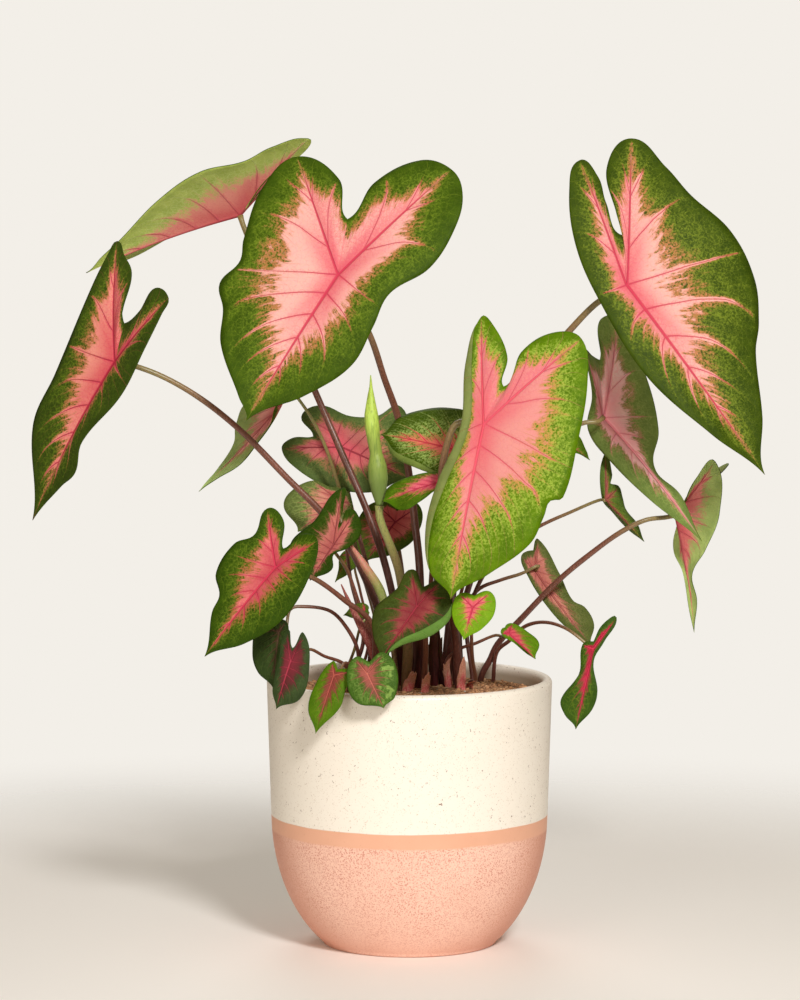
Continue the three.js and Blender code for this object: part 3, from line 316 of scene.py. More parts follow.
PLAN = dict(
    top_back=dict(
        joint=[240, 215], depth=75, facing=[-0.1, 0.75, 0.66], tip=[87, 272], sinus=[247, 207],
        left=dict(
            flank=[free(104, 262, 86), free(126, 259, 98), free(168, 238, 122)],
            lobe=free(290, 170, 122), inner=[free(268, 184, 98)],
        ),
        right=dict(
            flank=[[101, 257], [119, 240], [158, 200], [200, 172], [244, 162], [272, 148]],
            lobe=[308, 138], inner=[[303, 153], [268, 178]],
        ),
        stalk=dict(
            radius=2, foot=[-6, 24],
            route=[[397, 620, 24], [385, 562, 26], [367, 510, 30], [341, 450, 36], [314, 390, 44],
                   [280, 310, 58]],
        ),
    ),
    top_front=dict(
        joint=[338, 275], depth=-45, facing=[-0.12, -0.93, 0.35], tip=[246, 420], sinus=[347, 219],
        left=dict(
            flank=[[238, 397, 3], [221, 345, 3], [223, 310, 3], [219, 284, 2], [240, 262, 4],
                   [243, 240, 4], [262, 187, 2]],
            lobe=[298, 157], inner=[[338, 178, 1]],
        ),
        right=dict(
            flank=[[305, 395, 2], [350, 366, 3], [373, 328, 4], [390, 294, 4], [430, 267, 4],
                   [455, 226, 5], [463, 193, 4]],
            lobe=[452, 170, 2], inner=[[420, 161], [375, 182]],
        ),
        stalk=dict(
            radius=2.1, foot=[6, 8],
            route=[[420, 575, 10], [414, 520, 14], [408, 465, 16], [398, 420, 12], [385, 378, -2],
                   [370, 335, -20]],
        ),
    ),
    far_left=dict(
        joint=[116, 362], depth=-15, facing=[-0.62, -0.76, 0.2], tip=[32, 520], sinus=[125, 323],
        left=dict(
            flank=[[34, 425, 6], [55, 374, 6], [92, 287, 4], free(109, 253, 7)],
            lobe=[118, 241], inner=[free(124, 254, 1), [132, 275, 2], [123, 312, 2]],
        ),
        right=dict(
            flank=[[60, 487, 1], [75, 472, 2], [81, 442, 4], [121, 395, 5], [146, 348, 7], [161, 314, 8]],
            lobe=[169, 299, 9], inner=[[155, 289, 8], [139, 312, 4]],
        ),
        stalk=dict(
            radius=1.9, foot=[-14, 10],
            route=[[384, 635, 8], [368, 585, 4], [345, 540, 0], [318, 508, -2], [290, 480, -3],
                   [240, 430, -6], [200, 398, -9], [165, 378, -12], [138, 366, -13]],
        ),
    ),
    right_large=dict(
        joint=[627, 285], depth=-35, facing=[0.1, -0.94, 0.33], tip=[765, 474], sinus=[622, 235],
        left=dict(
            flank=[[712, 436, 4], [646, 376, 2], [597, 298], [575, 245], [569, 190]],
            lobe=[580, 161, -2], inner=[[598, 176], [606, 202]],
        ),
        right=dict(
            flank=[[763, 415], [755, 352, -2], [759, 322, -1], [755, 278], [731, 231, 4], [690, 195, 5],
                   [667, 167, 3]],
            lobe=[632, 139], inner=[[607, 168], [616, 213]],
        ),
        stalk=dict(
            radius=2.2, foot=[20, 22],
            route=[[450, 620, 20], [458, 560, 16], [490, 440, 4], [540, 365, -6], [567, 335, -12],
                   [598, 303, -20]],
        ),
    ),
    right_shade=dict(
        joint=[603, 418], depth=15, facing=[0.42, 0.82, 0.38], tip=free(703, 543, 0),
        sinus=[600, 360],
        left=dict(
            flank=[free(680, 495, 6), [655, 468, 3], [658, 430], [646, 376]],
            lobe=[618, 318], inner=[[600, 322]],
        ),
        right=dict(
            flank=[free(652, 502, 10), [612, 462, 2], [588, 430, 4], [592, 395, 9]],
            lobe=[586, 352, 14], inner=[[592, 355, 9]],
        ),
        stalk=dict(
            radius=1.7, foot=[26, 32],
            route=[[460, 620, 32], [478, 560, 28], [520, 475, 20], [555, 440, 14], [583, 424, 10]],
        ),
    ),
    front_large=dict(
        joint=[483, 425], depth=-70, facing=[-0.25, -0.9, 0.35], tip=[450, 600], sinus=[504, 386],
        left=dict(
            flank=[[431, 572], [426, 530], [437, 486, 4], [461, 428, 9], [466, 362, 5]],
            lobe=[482, 317, 2], inner=[[495, 327, 2], [508, 356, 1]],
            roll=dict(start=0.12, end=0.97, width=10),
        ),
        right=dict(
            flank=[[486, 576], [530, 544], [545, 516], [550, 501, 1], [563, 498, 1], [578, 444, 1],
                   [588, 380, 2]],
            lobe=[582, 338, 2], inner=[[553, 332, 2], [523, 352, 2]],
        ),
        stalk=dict(
            radius=2.3, foot=[28, 6],
            route=[[456, 640, 0], [450, 600, -16], [446, 540, -38], [441, 485, -54], [446, 447, -59],
                   [458, 424, -62]],
        ),
    ),
    left_mid=dict(
        joint=[275, 568], depth=-60, facing=[-0.3, -0.88, 0.35], tip=[204, 656], sinus=[284, 548],
        left=dict(
            flank=[[213, 612], [219, 596], [216, 572, 1], [235, 544, 3], [254, 535, 3]],
            lobe=[267, 509, 2], inner=[[284, 521]],
        ),
        right=dict(
            flank=[[245, 643], [282, 620, 2], [308, 578, 4]],
            lobe=[317, 541, 4], inner=[[302, 535, 1]],
        ),
        stalk=dict(radius=1.6, foot=[-20, -8], route=[[372, 625, -20], [345, 600, -32], [312, 578, -44]]),
    ),
    far_right=dict(
        flat=True,
        joint=[674, 515], depth=24, facing=[0.5, 0.82, 0.2], tip=[694, 632], sinus=[686, 500],
        left=dict(
            flank=[[697, 600], [692, 575], [706, 550], [719, 512]],
            lobe=[715, 462], inner=[[697, 479]],
        ),
        right=dict(
            flank=[[690, 610], [682, 572, 1], [673, 551, 2], [677, 528, 1], free(692, 490, 36)],
            lobe=free(728, 464, 22), inner=[],
        ),
        stalk=dict(
            radius=1.7, foot=[41, 44],
            route=[[489, 660, 43], [497, 645, 41], [520, 620, 36], [560, 580, 28], [590, 555, 22],
                   [620, 533, 17], [645, 520, 16]],
        ),
    ),
    upper_mid_back=dict(
        joint=[342, 448], depth=58, facing=[0.1, -0.86, 0.5], tip=[410, 478], sinus=[313, 437],
        left=dict(flank=[[372, 492], [330, 487], [297, 470]], lobe=[282, 449], inner=[[293, 438]]),
        right=dict(
            flank=[[410, 442], [400, 407], [378, 416], [350, 417]],
            lobe=[320, 406], inner=[[302, 417]],
        ),
        stalk=dict(radius=1.4, foot=[-18, 28], route=[[385, 630, 36], [365, 560, 50], [350, 500, 62]]),
    ),
    mid_left_hanging=dict(
        flat=True,
        joint=[284, 402], depth=25, facing=[0.3, 0.75, -0.6], tip=[198, 492], sinus=[287, 398],
        left=dict(
            flank=[[216, 478], [240, 464], [258, 442], [270, 424]],
            lobe=free(276, 406, 14), inner=[],
        ),
        right=dict(
            flank=[[205, 484], [217, 469], [234, 443], [236, 425]],
            lobe=free(250, 400, 40), inner=[],
        ),
        stalk=dict(
            radius=1.1, foot=[-26, 22], steps=26,
            route=[[378, 640, 24], [362, 570, 32], [342, 498, 30], [324, 444, 26], [306, 410, 18],
                   [290, 391, 12]],
        ),
    ),
    centre_right_upper=dict(
        joint=[466, 452], depth=-22, facing=[-0.25, -0.75, 0.6], tip=[380, 435], sinus=[473, 450],
        left=dict(flank=[[398, 418], [425, 409], [450, 408]], lobe=[469, 414], inner=[]),
        right=dict(
            flank=[[394, 455], [414, 467, 1], [440, 474, 1]],
            lobe=[463, 471, 1], inner=[], roll=dict(start=0.05, end=0.9, width=4),
        ),
        stalk=dict(radius=1.5, foot=[16, 34], route=[[436, 600, 30], [440, 540, 18], [452, 490, -2]]),
    ),
    centre_right_lower=dict(
        joint=[446, 480], depth=-42, facing=[-0.25, -0.72, 0.65], tip=[382, 501], sinus=[451, 480],
        left=dict(flank=[[388, 488], [408, 478]], lobe=[437, 472], inner=[]),
        right=dict(flank=[[402, 510], [420, 501]], lobe=[436, 490], inner=[]),
        stalk=dict(radius=1.4, foot=[14, 20], route=[[430, 600, 14], [432, 560, 2], [438, 515, -20]]),
    ),
    mid_right_hanging=dict(
        joint=[536, 571], depth=46, facing=[-0.3, 0.75, -0.58], tip=[591, 645], sinus=[533, 550],
        left=dict(flank=[[594, 625], [585, 607], [573, 600], [560, 574]], lobe=[539, 540], inner=[]),
        right=dict(flank=[[567, 628], [545, 603], [528, 577]], lobe=[521, 557], inner=[]),
        stalk=dict(
            radius=1.2, foot=[30, 44],
            route=[[462, 620, 46], [478, 590, 46], [500, 580, 44], [521, 574, 42]],
        ),
    ),
    lower_right_hanging=dict(
        joint=[593, 648], depth=-25, facing=[-0.2, -0.9, 0.3], tip=[575, 730], sinus=[594, 642],
        left=dict(flank=[[565, 715], [561, 700], [579, 674]], lobe=[582, 645], inner=[]),
        right=dict(
            flank=[[592, 710], [598, 692], [594, 662], [604, 641]],
            lobe=[616, 617], inner=[[603, 625]],
        ),
        stalk=dict(
            radius=1.1, foot=[48, 40],
            route=[[497, 652, 36], [510, 640, 30], [525, 627, 20], [543, 622, 8], [570, 630, -14]],
        ),
    ),
    narrow_right=dict(
        joint=free(606, 500, 29), depth=31, facing=[0.55, -0.8, 0.2], tip=[644, 542],
        sinus=[611, 484],
        left=dict(
            flank=[[629.5, 529, -3], [613.5, 513, -4], [601.5, 497, -2]],
            lobe=[604, 454], inner=[[611, 474]],
        ),
        right=dict(flank=[[638, 524], [626, 510], [622, 497]], lobe=[619, 487], inner=[]),
        stalk=dict(
            radius=1.2, foot=[36, 34],
            route=[[468, 620, 38], [490, 565, 42], [520, 538, 43], [543, 525, 42], [570, 513, 40]],
        ),
    ),
    front_centre=dict(
        joint=[418, 607], depth=-72, facing=[-0.1, -0.9, 0.42], tip=[381, 661], sinus=[422, 588],
        left=dict(flank=[[372, 635], [374, 610], [396, 589]], lobe=[412, 570], inner=[]),
        right=dict(
            flank=[[399, 646], [434, 634], [452, 610]],
            lobe=[441, 581], inner=[], roll=dict(start=0.05, end=0.8, width=7),
        ),
        stalk=dict(radius=1.6, foot=[8, -12], route=[[425, 650, -30], [424, 625, -46]]),
    ),
    left_twisted=dict(
        joint=[333, 545], depth=-25, facing=[-0.1, -0.8, 0.6], tip=[309, 580], sinus=[339, 523],
        left=dict(flank=[[300, 562], [291, 543], [314, 521]], lobe=[341, 488], inner=[[343, 508]]),
        right=dict(
            flank=[free(331, 570, -34), free(334, 554, -29), free(349, 548, -22), free(361, 532, -14)],
            lobe=free(356, 511, -9), inner=[free(346, 511, -11)],
        ),
        stalk=dict(radius=1.2, foot=[-24, 10], route=[[370, 640, 8], [358, 600, 2], [346, 570, -4]]),
    ),
    left_back_low=dict(
        joint=[338, 500], depth=20, facing=[0.4, 0.8, -0.4], tip=[297, 531], sinus=[340, 489],
        left=dict(flank=[[322, 532], [345, 522]], lobe=[352, 505], inner=[]),
        right=dict(flank=[[284, 508], [290, 493]], lobe=[313, 480], inner=[[330, 486]]),
        stalk=dict(radius=1.1, foot=[-34, 16], route=[[364, 640, 18], [350, 580, 14], [344, 530, 9]]),
    ),
    centre_back=dict(
        joint=[395, 523], depth=78, facing=[0.05, -0.9, 0.42], tip=[366, 562], sinus=[397, 508],
        left=dict(flank=[[350, 545], [358, 520]], lobe=[374, 503], inner=[]),
        right=dict(flank=[[392, 555], [416, 537]], lobe=[420, 506], inner=[]),
        stalk=dict(radius=1.3, foot=[2, 36], route=[[406, 620, 50], [402, 570, 68]]),
    ),
    rim_left_dark=dict(
        joint=[279, 632], depth=-32, facing=[-0.5, -0.8, 0.3], tip=[273, 690], sinus=[272, 624],
        left=dict(flank=[[258, 672], [252, 652]], lobe=[258, 626], inner=[]),
        right=dict(flank=[[279, 670], [286, 645]], lobe=[286, 622], inner=[]),
        stalk=dict(
            radius=1.1, foot=[-29, 0],
            route=[[358, 650, -7], [346, 628, -11], [330, 612, -16], [305, 606, -20], [290, 608, -22]],
        ),
    ),
    rim_left_pink=dict(
        joint=[291, 662], depth=-56, facing=[-0.3, -0.9, 0.3], tip=[277, 709], sinus=[293, 648],
        left=dict(flank=[[273, 690], [278, 660]], lobe=[288, 630], inner=[]),
        right=dict(flank=[[300, 700], [309, 672]], lobe=[304, 634], inner=[]),
        stalk=dict(radius=1, foot=[-34, -8], route=[[345, 665, -24], [325, 656, -34], [308, 650, -44]]),
    ),
    rim_front_left=dict(
        joint=[335, 676], depth=-77, facing=[-0.2, -0.9, 0.38], tip=[315, 733], sinus=[338, 669],
        left=dict(flank=[[309, 708], [316, 684]], lobe=[332, 662], inner=[]),
        right=dict(flank=[[340, 708], [346, 690]], lobe=[350, 672], inner=[]),
        stalk=dict(radius=1, foot=[-30, -18], route=[[352, 668, -40], [344, 664, -58]]),
    ),
    rim_front_mottled=dict(
        joint=[368, 674], depth=-86, facing=[-0.1, -0.93, 0.35], tip=[384, 709], sinus=[369, 662],
        left=dict(flank=[[357, 702], [347, 680]], lobe=[354, 658], inner=[]),
        right=dict(flank=[[395, 696], [396, 670]], lobe=[384, 653], inner=[]),
        stalk=dict(radius=1.1, foot=[-22, -22], route=[[378, 668, -50], [374, 660, -70]]),
    ),
    tiny_front=dict(
        joint=[473, 607], depth=-78, facing=[-0.1, -0.9, 0.42], tip=[463, 641], sinus=[474, 597],
        left=dict(flank=[[454, 622], [453, 607]], lobe=[459, 594], inner=[]),
        right=dict(flank=[[482, 628], [494, 611]], lobe=[491, 593], inner=[]),
        stalk=dict(
            radius=1.1, foot=[34, 14],
            route=[[476, 680, 2], [473, 660, -20], [471, 637, -44], [472, 620, -62]],
        ),
    ),
    tiny_right=dict(
        joint=[508, 633], depth=-20, facing=[0.3, -0.75, 0.6], tip=[536, 660], sinus=[505, 628],
        left=dict(flank=[[526.5, 653.5, -2.5], [515, 644, -2.5]], lobe=[501, 634], inner=[]),
        right=dict(flank=[[539, 643], [528, 632]], lobe=[512, 623], inner=[]),
        stalk=dict(
            radius=1, foot=[22, 12],
            route=[[447, 660, 10], [460, 650, 6], [475, 643, 0], [495, 636, -4]],
        ),
    ),
    small_back_right=dict(
        whole=True,
        joint=[566, 444], depth=-42, facing=[0.4, -0.75, 0.5], tip=[590, 460], sinus=[562, 444],
        left=dict(flank=[[577, 453]], lobe=[562, 452], inner=[]),
        right=dict(flank=[[586, 451]], lobe=[575, 434], inner=[]),
        stalk=dict(
            radius=1, foot=[26, 20],
            route=[[455, 620, 16], [480, 540, -2], [520, 470, -24], [545, 448, -32]],
        ),
    ),
    small_left_inner=dict(
        whole=True,
        joint=[349, 555], depth=21, facing=[-0.5, -0.8, 0.3], tip=[335, 583], sinus=[350, 550],
        left=dict(flank=[[338, 570]], lobe=[341, 555], inner=[]),
        right=dict(flank=[[348, 574]], lobe=[358, 560], inner=[]),
        stalk=dict(radius=0.9, foot=[-28, 30], route=[[368, 640, 28], [360, 590, 27], [354, 567, 25]]),
    ),
    small_left_low=dict(
        whole=True,
        joint=[364, 610], depth=-6, facing=[-0.3, -0.8, 0.5], tip=[343, 615], sinus=[368, 610],
        left=dict(flank=[[352, 606]], lobe=[363, 603], inner=[]),
        right=dict(flank=[[352, 618]], lobe=[362, 619], inner=[]),
        stalk=dict(radius=0.9, foot=[-38, 8], route=[[354, 650, 2], [361, 625, -3]]),
    ),
)

# %% [markdown]
# ## From the plan to millimetres
# A place on the sheet is a line of sight, and a leaf lies where that line meets the plane of its blade.
# The points could be moved about by hand in the viewport, but then no two leaves would be planned in
# the same way. The blade falls away from its plane with the square of the distance from the joint, as
# a leaf does that hangs from its middle. The plan is good to a millimetre, so its points are whole ones.

# %% Lines of sight
SHEET_MIDDLE = (400, 500)
SHEET_REACH = 4129.7  # the sheet's distance from the eye, in its own units
DOME = 0.09
forwards = unit(AIM - EYE)
rightwards = unit(np.cross(forwards, [0, 0, 1]))
upwards = np.cross(rightwards, forwards)


def sight_line(place):
    across, down = place[0] - SHEET_MIDDLE[0], SHEET_MIDDLE[1] - place[1]
    return forwards * SHEET_REACH + rightwards * across + upwards * down


def seen(place):
    """The point at a place on the sheet, so far behind the pot's axis."""
    line = sight_line(place)
    return EYE + line * (place[2] - EYE[1]) / line[1]


def whole_millimetres(point):
    return tuple(int(math.floor(value + 0.5)) for value in point)


def route_in_space(route):
    return [whole_millimetres(seen(place)) for place in route]


def leaf_in_space(leaf):
    """A leaf of the plan with all its points in millimetres."""
    is_free = lambda place: isinstance(place, dict)
    joint = leaf["joint"]["free"] if is_free(leaf["joint"]) else leaf["joint"]
    anchor = seen([*joint[:2], leaf["depth"]])
    facing = unit(np.array(leaf["facing"], float))

    def on_plane(place, lift):
        line = sight_line(place)
        return EYE + line * ((anchor - EYE) @ facing + lift) / (line @ facing)

    tip = seen(leaf["tip"]["free"]) if is_free(leaf["tip"]) else on_plane(leaf["tip"], 0)
    dome = 0 if leaf.get("flat") else DOME / np.linalg.norm(tip - anchor)

    def on_blade(place):
        if is_free(place):
            return whole_millimetres(seen(place["free"]))
        lift = place[2] if len(place) > 2 else 0
        reach = np.linalg.norm(on_plane(place, lift) - anchor)
        return whole_millimetres(on_plane(place, lift - dome * reach**2))

    placed = dict(leaf, **{key: on_blade(leaf[key]) for key in ("joint", "tip", "sinus")})
    for side in ("left", "right"):
        flank, inner = [[on_blade(place) for place in leaf[side][key]] for key in ("flank", "inner")]
        placed[side] = dict(leaf[side], flank=flank, lobe=on_blade(leaf[side]["lobe"]), inner=inner)
    placed["stalk"] = dict(leaf["stalk"], route=route_in_space(leaf["stalk"]["route"]))
    return placed


LEAVES = {name: leaf_in_space(leaf) for name, leaf in PLAN.items()}
print(len(LEAVES), "leaves")


# %% [markdown]
# ## The shape of a blade
# A caladium leaf is a heart with its stalk joined inside it. Three main veins leave the joint: the
# midrib down to the tip, and one into each back lobe. The blade hangs between them like cloth between
# tent ropes. It could be a flat cut-out that is bent later, but then no vein would lie where the leaf
# folds. So the blade is ruled instead: each side has a panel from midrib and lobe vein out to the
# margin, and one from the lobe vein in to the notch, and rows of points run across each panel.

# %% The ruling of a blade
VEIN_STEP = 13 * MM
FEWEST_TIP_STRIPS, FEWEST_LOBE_STRIPS = 4, 2
VEIN_ARCH = 0.05
PANEL_CROWN = 0.05
MARGIN_FULLNESS = 0.36
MARGIN_STEPS, RULER_STEPS = 32, 64
SINUS_ROUNDING = 0.6
TIP_FULLNESS = 0.7
ROLL_LIFT = 0.7
FINENESS = 6  # narrow columns that take the place of one strip of the solid model
ROWS = 16
ROLL_ROWS = 5
row_shares = np.linspace(0, 1, ROWS + 1) ** 1.3


def margin_of(leaf, side, other):
    """The outer margin from tip to lobe, and the inner one from lobe to sinus."""
    joint, tip, sinus = metres([leaf["joint"], leaf["tip"], leaf["sinus"]])
    knots = metres([leaf["tip"], *side["flank"], side["lobe"], *side["inner"], leaf["sinus"]])
    inwards, across = unit(joint - sinus), unit(metres(other["lobe"]) - metres(side["lobe"]))
    headings = [unit(joint + (knots[1] - joint) * TIP_FULLNESS - tip)]
    headings += [unit(after - before) for before, after in zip(knots, knots[2:])]
    headings.append(unit(inwards + (across - inwards) * SINUS_ROUNDING))
    share = np.linspace(0, 1, MARGIN_STEPS + 1)[:, None]
    stretches = []
    for start, end, leaving, arriving in zip(knots, knots[1:], headings, headings[1:]):
        reach = np.linalg.norm(end - start) * MARGIN_FULLNESS
        stretches.append(cubic(start, start + leaving * reach, end - arriving * reach, end, share))
    lobe_at = len(side["flank"]) + 1
    join = lambda parts: np.vstack([parts[0]] + [part[1:] for part in parts[1:]])
    return join(stretches[:lobe_at]), join(stretches[lobe_at:])


def face_normal(leaf):
    joint, tip = metres([leaf["joint"], leaf["tip"]])
    across = metres(leaf["right"]["flank"][-1]) - metres(leaf["left"]["flank"][-1])
    return unit(np.cross(unit(tip - joint), across))


def arched(start, end, normal, count):
    middle = (start + end) / 2 + normal * np.linalg.norm(end - start) * VEIN_ARCH
    share = np.linspace(0, 1, count + 1)[:, None]
    return quadratic(start, middle, end, share)


def strip_count(vein, fewest):
    return max(fewest, round(lengths_along(vein)[-1] / VEIN_STEP))


# %% [markdown]
# ## Side veins
# Side veins leave the midrib towards the tip and the lobe veins towards the ends of the lobes, and
# those from the joint go straight out. In the blade's own ruling they are gentle curves, so one
# number is enough: `order` rises by 1 from each side vein to the next, and the finish draws a vein
# wherever it is whole. They stand closer to each other near the joint, so the order rises faster
# there. Between two veins the blade swells by a third of a millimetre.

# %% Side vein order
TIP_VEINS, LOBE_VEINS = 5, 3
TIP_LEAN, LOBE_LEAN = 0.33, 0.34
TIP_CROWDING, LOBE_CROWDING = 1.6, 0.75


def side_vein_order(along, share):
    """along is 0 at the tip, 1 at the joint and 2 at the end of the lobe."""
    ease = lambda x: np.clip(x, 0, 1) ** 2 * (3 - 2 * np.clip(x, 0, 1))
    lean = TIP_LEAN * (1 - ease((along - 0.4) / 0.65)) - LOBE_LEAN * ease((along - 1) / 0.4)
    bow = np.where(along < 1, share**1.15, share**0.7 * (1 - 0.35 * share**2))
    start = along + lean * bow
    towards_tip, towards_lobe = np.clip(start, 0, 1), np.maximum(start - 1, 0)
    return TIP_VEINS * towards_tip**TIP_CROWDING + LOBE_VEINS * towards_lobe**LOBE_CROWDING


SWELL = 0.32 * MM
FULL_SWELL_WIDTH = 12 * MM


def panel(vein, margin, along, normal, roll, number):
    """A grid of points with the numbers that the finish needs: share, along, side vein order and its
    pace in mm, distances from vein and margin in mm, and the panel's number."""
    last = len(vein) - 1
    shares = row_shares[None, :]
    width = np.linalg.norm(margin - vein, axis=1)[:, None]
    middle = np.sin(np.pi * np.arange(last + 1) / last)[:, None]
    order = side_vein_order(along[:, None], shares)
    lift = width * PANEL_CROWN * 4 * shares * (1 - shares) * middle
    swollen = SWELL * np.minimum(width / FULL_SWELL_WIDTH, 1)
    lift = lift + swollen * np.sin(np.pi * order) ** 2 * np.sin(np.pi * shares)
    points = vein[:, None] + (margin - vein)[:, None] * shares[..., None] + normal * lift[..., None]
    grid_share = np.repeat(shares, last + 1, 0)
    from_vein = width * shares
    if roll:
        part = np.clip((np.arange(last + 1) / last - roll["start"]) / (roll["end"] - roll["start"]), 0, 1)
        reach = (roll["width"] * MM * np.sin(np.pi * part) * ROLL_LIFT)[:, None, None]
        back = unit(vein - margin + 1e-12)[:, None]
        turn = np.linspace(0, 1, ROLL_ROWS + 1)[1:][None, :, None]
        bulge = margin[:, None] + (0.55 * normal - 0.4 * back) * reach
        end = margin[:, None] + (back + normal) * reach
        rolled = quadratic(margin[:, None], bulge, end, turn)
        points = np.concatenate([points, rolled], 1)
        extra = 1 + 0.12 * turn[..., 0] * np.minimum(reach[..., 0] / MM, 1)
        grid_share = np.concatenate([grid_share, extra], 1)
        from_vein = np.concatenate([from_vein, width * extra], 1)
        order = np.concatenate([order, np.repeat(order[:, -1:], ROLL_ROWS, 1)], 1)
    columns = np.gradient(points, axis=0)
    orders = np.gradient(order, axis=0)
    pace = np.linalg.norm(columns, axis=2) / np.maximum(np.abs(orders), 1e-3)
    numbers = dict(
        pattern=np.stack([grid_share, np.repeat(along[:, None], points.shape[1], 1)], -1),
        veins=np.stack([order, pace / MM], -1),
        reach=np.stack([from_vein / MM, (width / MM - from_vein / MM)], -1),
        panel=np.stack([np.full(order.shape, float(number)), np.zeros(order.shape)], -1),
    )
    return points, numbers


def blade_panels(leaf):
    joint, tip = metres([leaf["joint"], leaf["tip"]])
    normal = face_normal(leaf)
    midrib = arched(joint, tip, normal, RULER_STEPS)
    tip_strips = strip_count(midrib, FEWEST_TIP_STRIPS)
    panels = []
    for number, (side, other) in enumerate([("left", "right"), ("right", "left")]):
        side, other = leaf[side], leaf[other]
        lobe = metres(side["lobe"])
        outer_margin, inner_margin = margin_of(leaf, side, other)
        lobe_strips = strip_count(arched(joint, lobe, normal, RULER_STEPS), FEWEST_LOBE_STRIPS)
        tip_columns, lobe_columns = tip_strips * FINENESS, lobe_strips * FINENESS
        lobe_vein = arched(joint, lobe, normal, lobe_columns)
        vein = np.vstack([arched(joint, tip, normal, tip_columns)[::-1], lobe_vein[1:]])
        out = np.linspace(0, 1, lobe_columns + 1)
        along = np.concatenate([np.linspace(0, 1, tip_columns + 1), 1 + out[1:]])
        margin = spaced(outer_margin, tip_columns + lobe_columns)
        panels.append((number == 1, *panel(vein, margin, along, normal, side.get("roll"), number)))
        inner = spaced(inner_margin, lobe_columns)
        panels.append((number == 1, *panel(lobe_vein[::-1], inner, 2 - out, normal, None, number + 2)))
    return panels


# %% [markdown]
# ## A blade with two sides
# The real blade is a third of a millimetre thick. The mesh is closed all round, with the face and
# the underside as separate finishes, because the underside is duller and its veins stand out like
# cords. The ribs are real relief here: the underside is pushed out along midrib and lobe veins, and
# the face is sunk a little above them. The rest of the vein net is left to the bump of the finish.
# Finer margins bulge a little past the corners of the plain ones, so the topmost lobe is held down.

# %% Joining the panels
BLADE_THICKNESS = 0.5 * MM
RIB_HEIGHT = 0.55 * MM
RIB_WIDTH = 0.8  # mm from the middle of the vein
FACE_RIB_SHARE = 0.35  # how deep the face sinks over a rib, as a share of the rib's height
WELD, HEADROOM = 0.02 * MM, 0.03 * MM


def panels_as_one(leaf):
    """The points, quads and maps of all the panels, one after the other."""
    points, quads, maps = [], [], dict(pattern=[], veins=[], reach=[], panel=[])
    count = 0
    for flipped, grid, numbers in blade_panels(leaf):
        columns, rows = grid.shape[:2]
        index = count + np.arange(columns * rows).reshape(columns, rows)
        corners = [index[:-1, :-1], index[1:, :-1], index[1:, 1:], index[:-1, 1:]]
        if flipped:
            corners.reverse()
        quads.append(np.stack([corner.ravel() for corner in corners], 1))
        points.append(grid.reshape(-1, 3))
        for key in maps:
            maps[key].append(numbers[key].reshape(-1, 2))
        count += columns * rows
    return np.vstack(points), np.vstack(quads), {key: np.vstack(rows) for key, rows in maps.items()}


def welded(points, quads):
    """Joins the panels where their points meet: the first point of each place, and for each face its
    corners and the rows of the maps that they take their numbers from."""
    _, first, merged = np.unique(np.round(points / WELD).astype(int), axis=0,
                                 return_index=True, return_inverse=True)
    merged = merged.ravel()
    faces, corner_rows = [], []
    for quad in quads.tolist():
        ring = [merged[corner] for corner in quad]
        kept = [k for k in range(4) if ring[k] != ring[k - 1]]
        if len(kept) >= 3 and len({ring[k] for k in kept}) == len(kept):
            faces.append([int(ring[k]) for k in kept])
            corner_rows.append([quad[k] for k in kept])
    return first, faces, corner_rows


def point_normals(points, faces):
    normals = np.zeros_like(points)
    for face in faces:
        a, b, c = points[face[:3]]
        crossed = (b - a, c - a) if len(face) == 3 else (c - a, points[face[3]] - b)
        normals[face] += np.cross(*crossed)
    return unit(normals + 1e-15)


def open_edges(faces, corner_rows):
    """The edges that only one face has, with the rows of their two ends."""
    edges = {}
    for face, rows in zip(faces, corner_rows):
        for k in range(len(face)):
            edge = (face[k], face[(k + 1) % len(face)])
            if edge[::-1] in edges:
                del edges[edge[::-1]]
            else:
                edges[edge] = (rows[k], rows[(k + 1) % len(face)])
    return edges


# %% Closing a blade
def blade_mesh(leaf):
    """Points, faces, the side of each face (0 face, 1 underside) and maps on the faces' corners."""
    points, quads, maps = panels_as_one(leaf)
    first, faces, corner_rows = welded(points, quads)
    surface = points[first]
    normals = point_normals(surface, faces)
    from_vein, along = maps["reach"][first, 0], maps["pattern"][first, 1]
    taper = np.clip(np.where(along < 1, along / 0.9, (2 - along) / 0.8), 0, 1)
    closeness = np.clip(1 - from_vein / RIB_WIDTH, 0, 1)
    rib = closeness**2 * (3 - 2 * closeness) * taper
    top = surface + normals * (BLADE_THICKNESS / 2 - FACE_RIB_SHARE * rib * RIB_HEIGHT)[:, None]
    under = surface - normals * (BLADE_THICKNESS / 2 + rib * RIB_HEIGHT)[:, None]
    highest = solid_box[1][2] - HEADROOM
    top[:, 2], under[:, 2] = np.minimum(top[:, 2], highest), np.minimum(under[:, 2], highest)
    many = len(surface)
    edges = open_edges(faces, corner_rows)
    under_faces = shifted([face[::-1] for face in faces], many)
    under_rows = [rows[::-1] for rows in corner_rows]
    rim = [[b, a, a + many, b + many] for a, b in edges]
    rim_rows = [[rb, ra, ra, rb] for ra, rb in edges.values()]
    sides = [0] * len(faces) + [1] * len(under_faces) + [0] * len(rim)
    rows = [row for corners in corner_rows + under_rows + rim_rows for row in corners]
    corner_maps = {key: values[rows] for key, values in maps.items()}
    return np.vstack([top, under]), faces + under_faces + rim, sides, corner_maps, surface, normals


# %% [markdown]
# ## Stalks
# A leaf stalk is a long taper that swells where it leaves the tuber and bends over just under the
# blade. A curve object with a bevel would do, but its radius can't be uneven, and the closing export
# keeps meshes best. So a ring of points is carried along the path and turned as little as it can be.

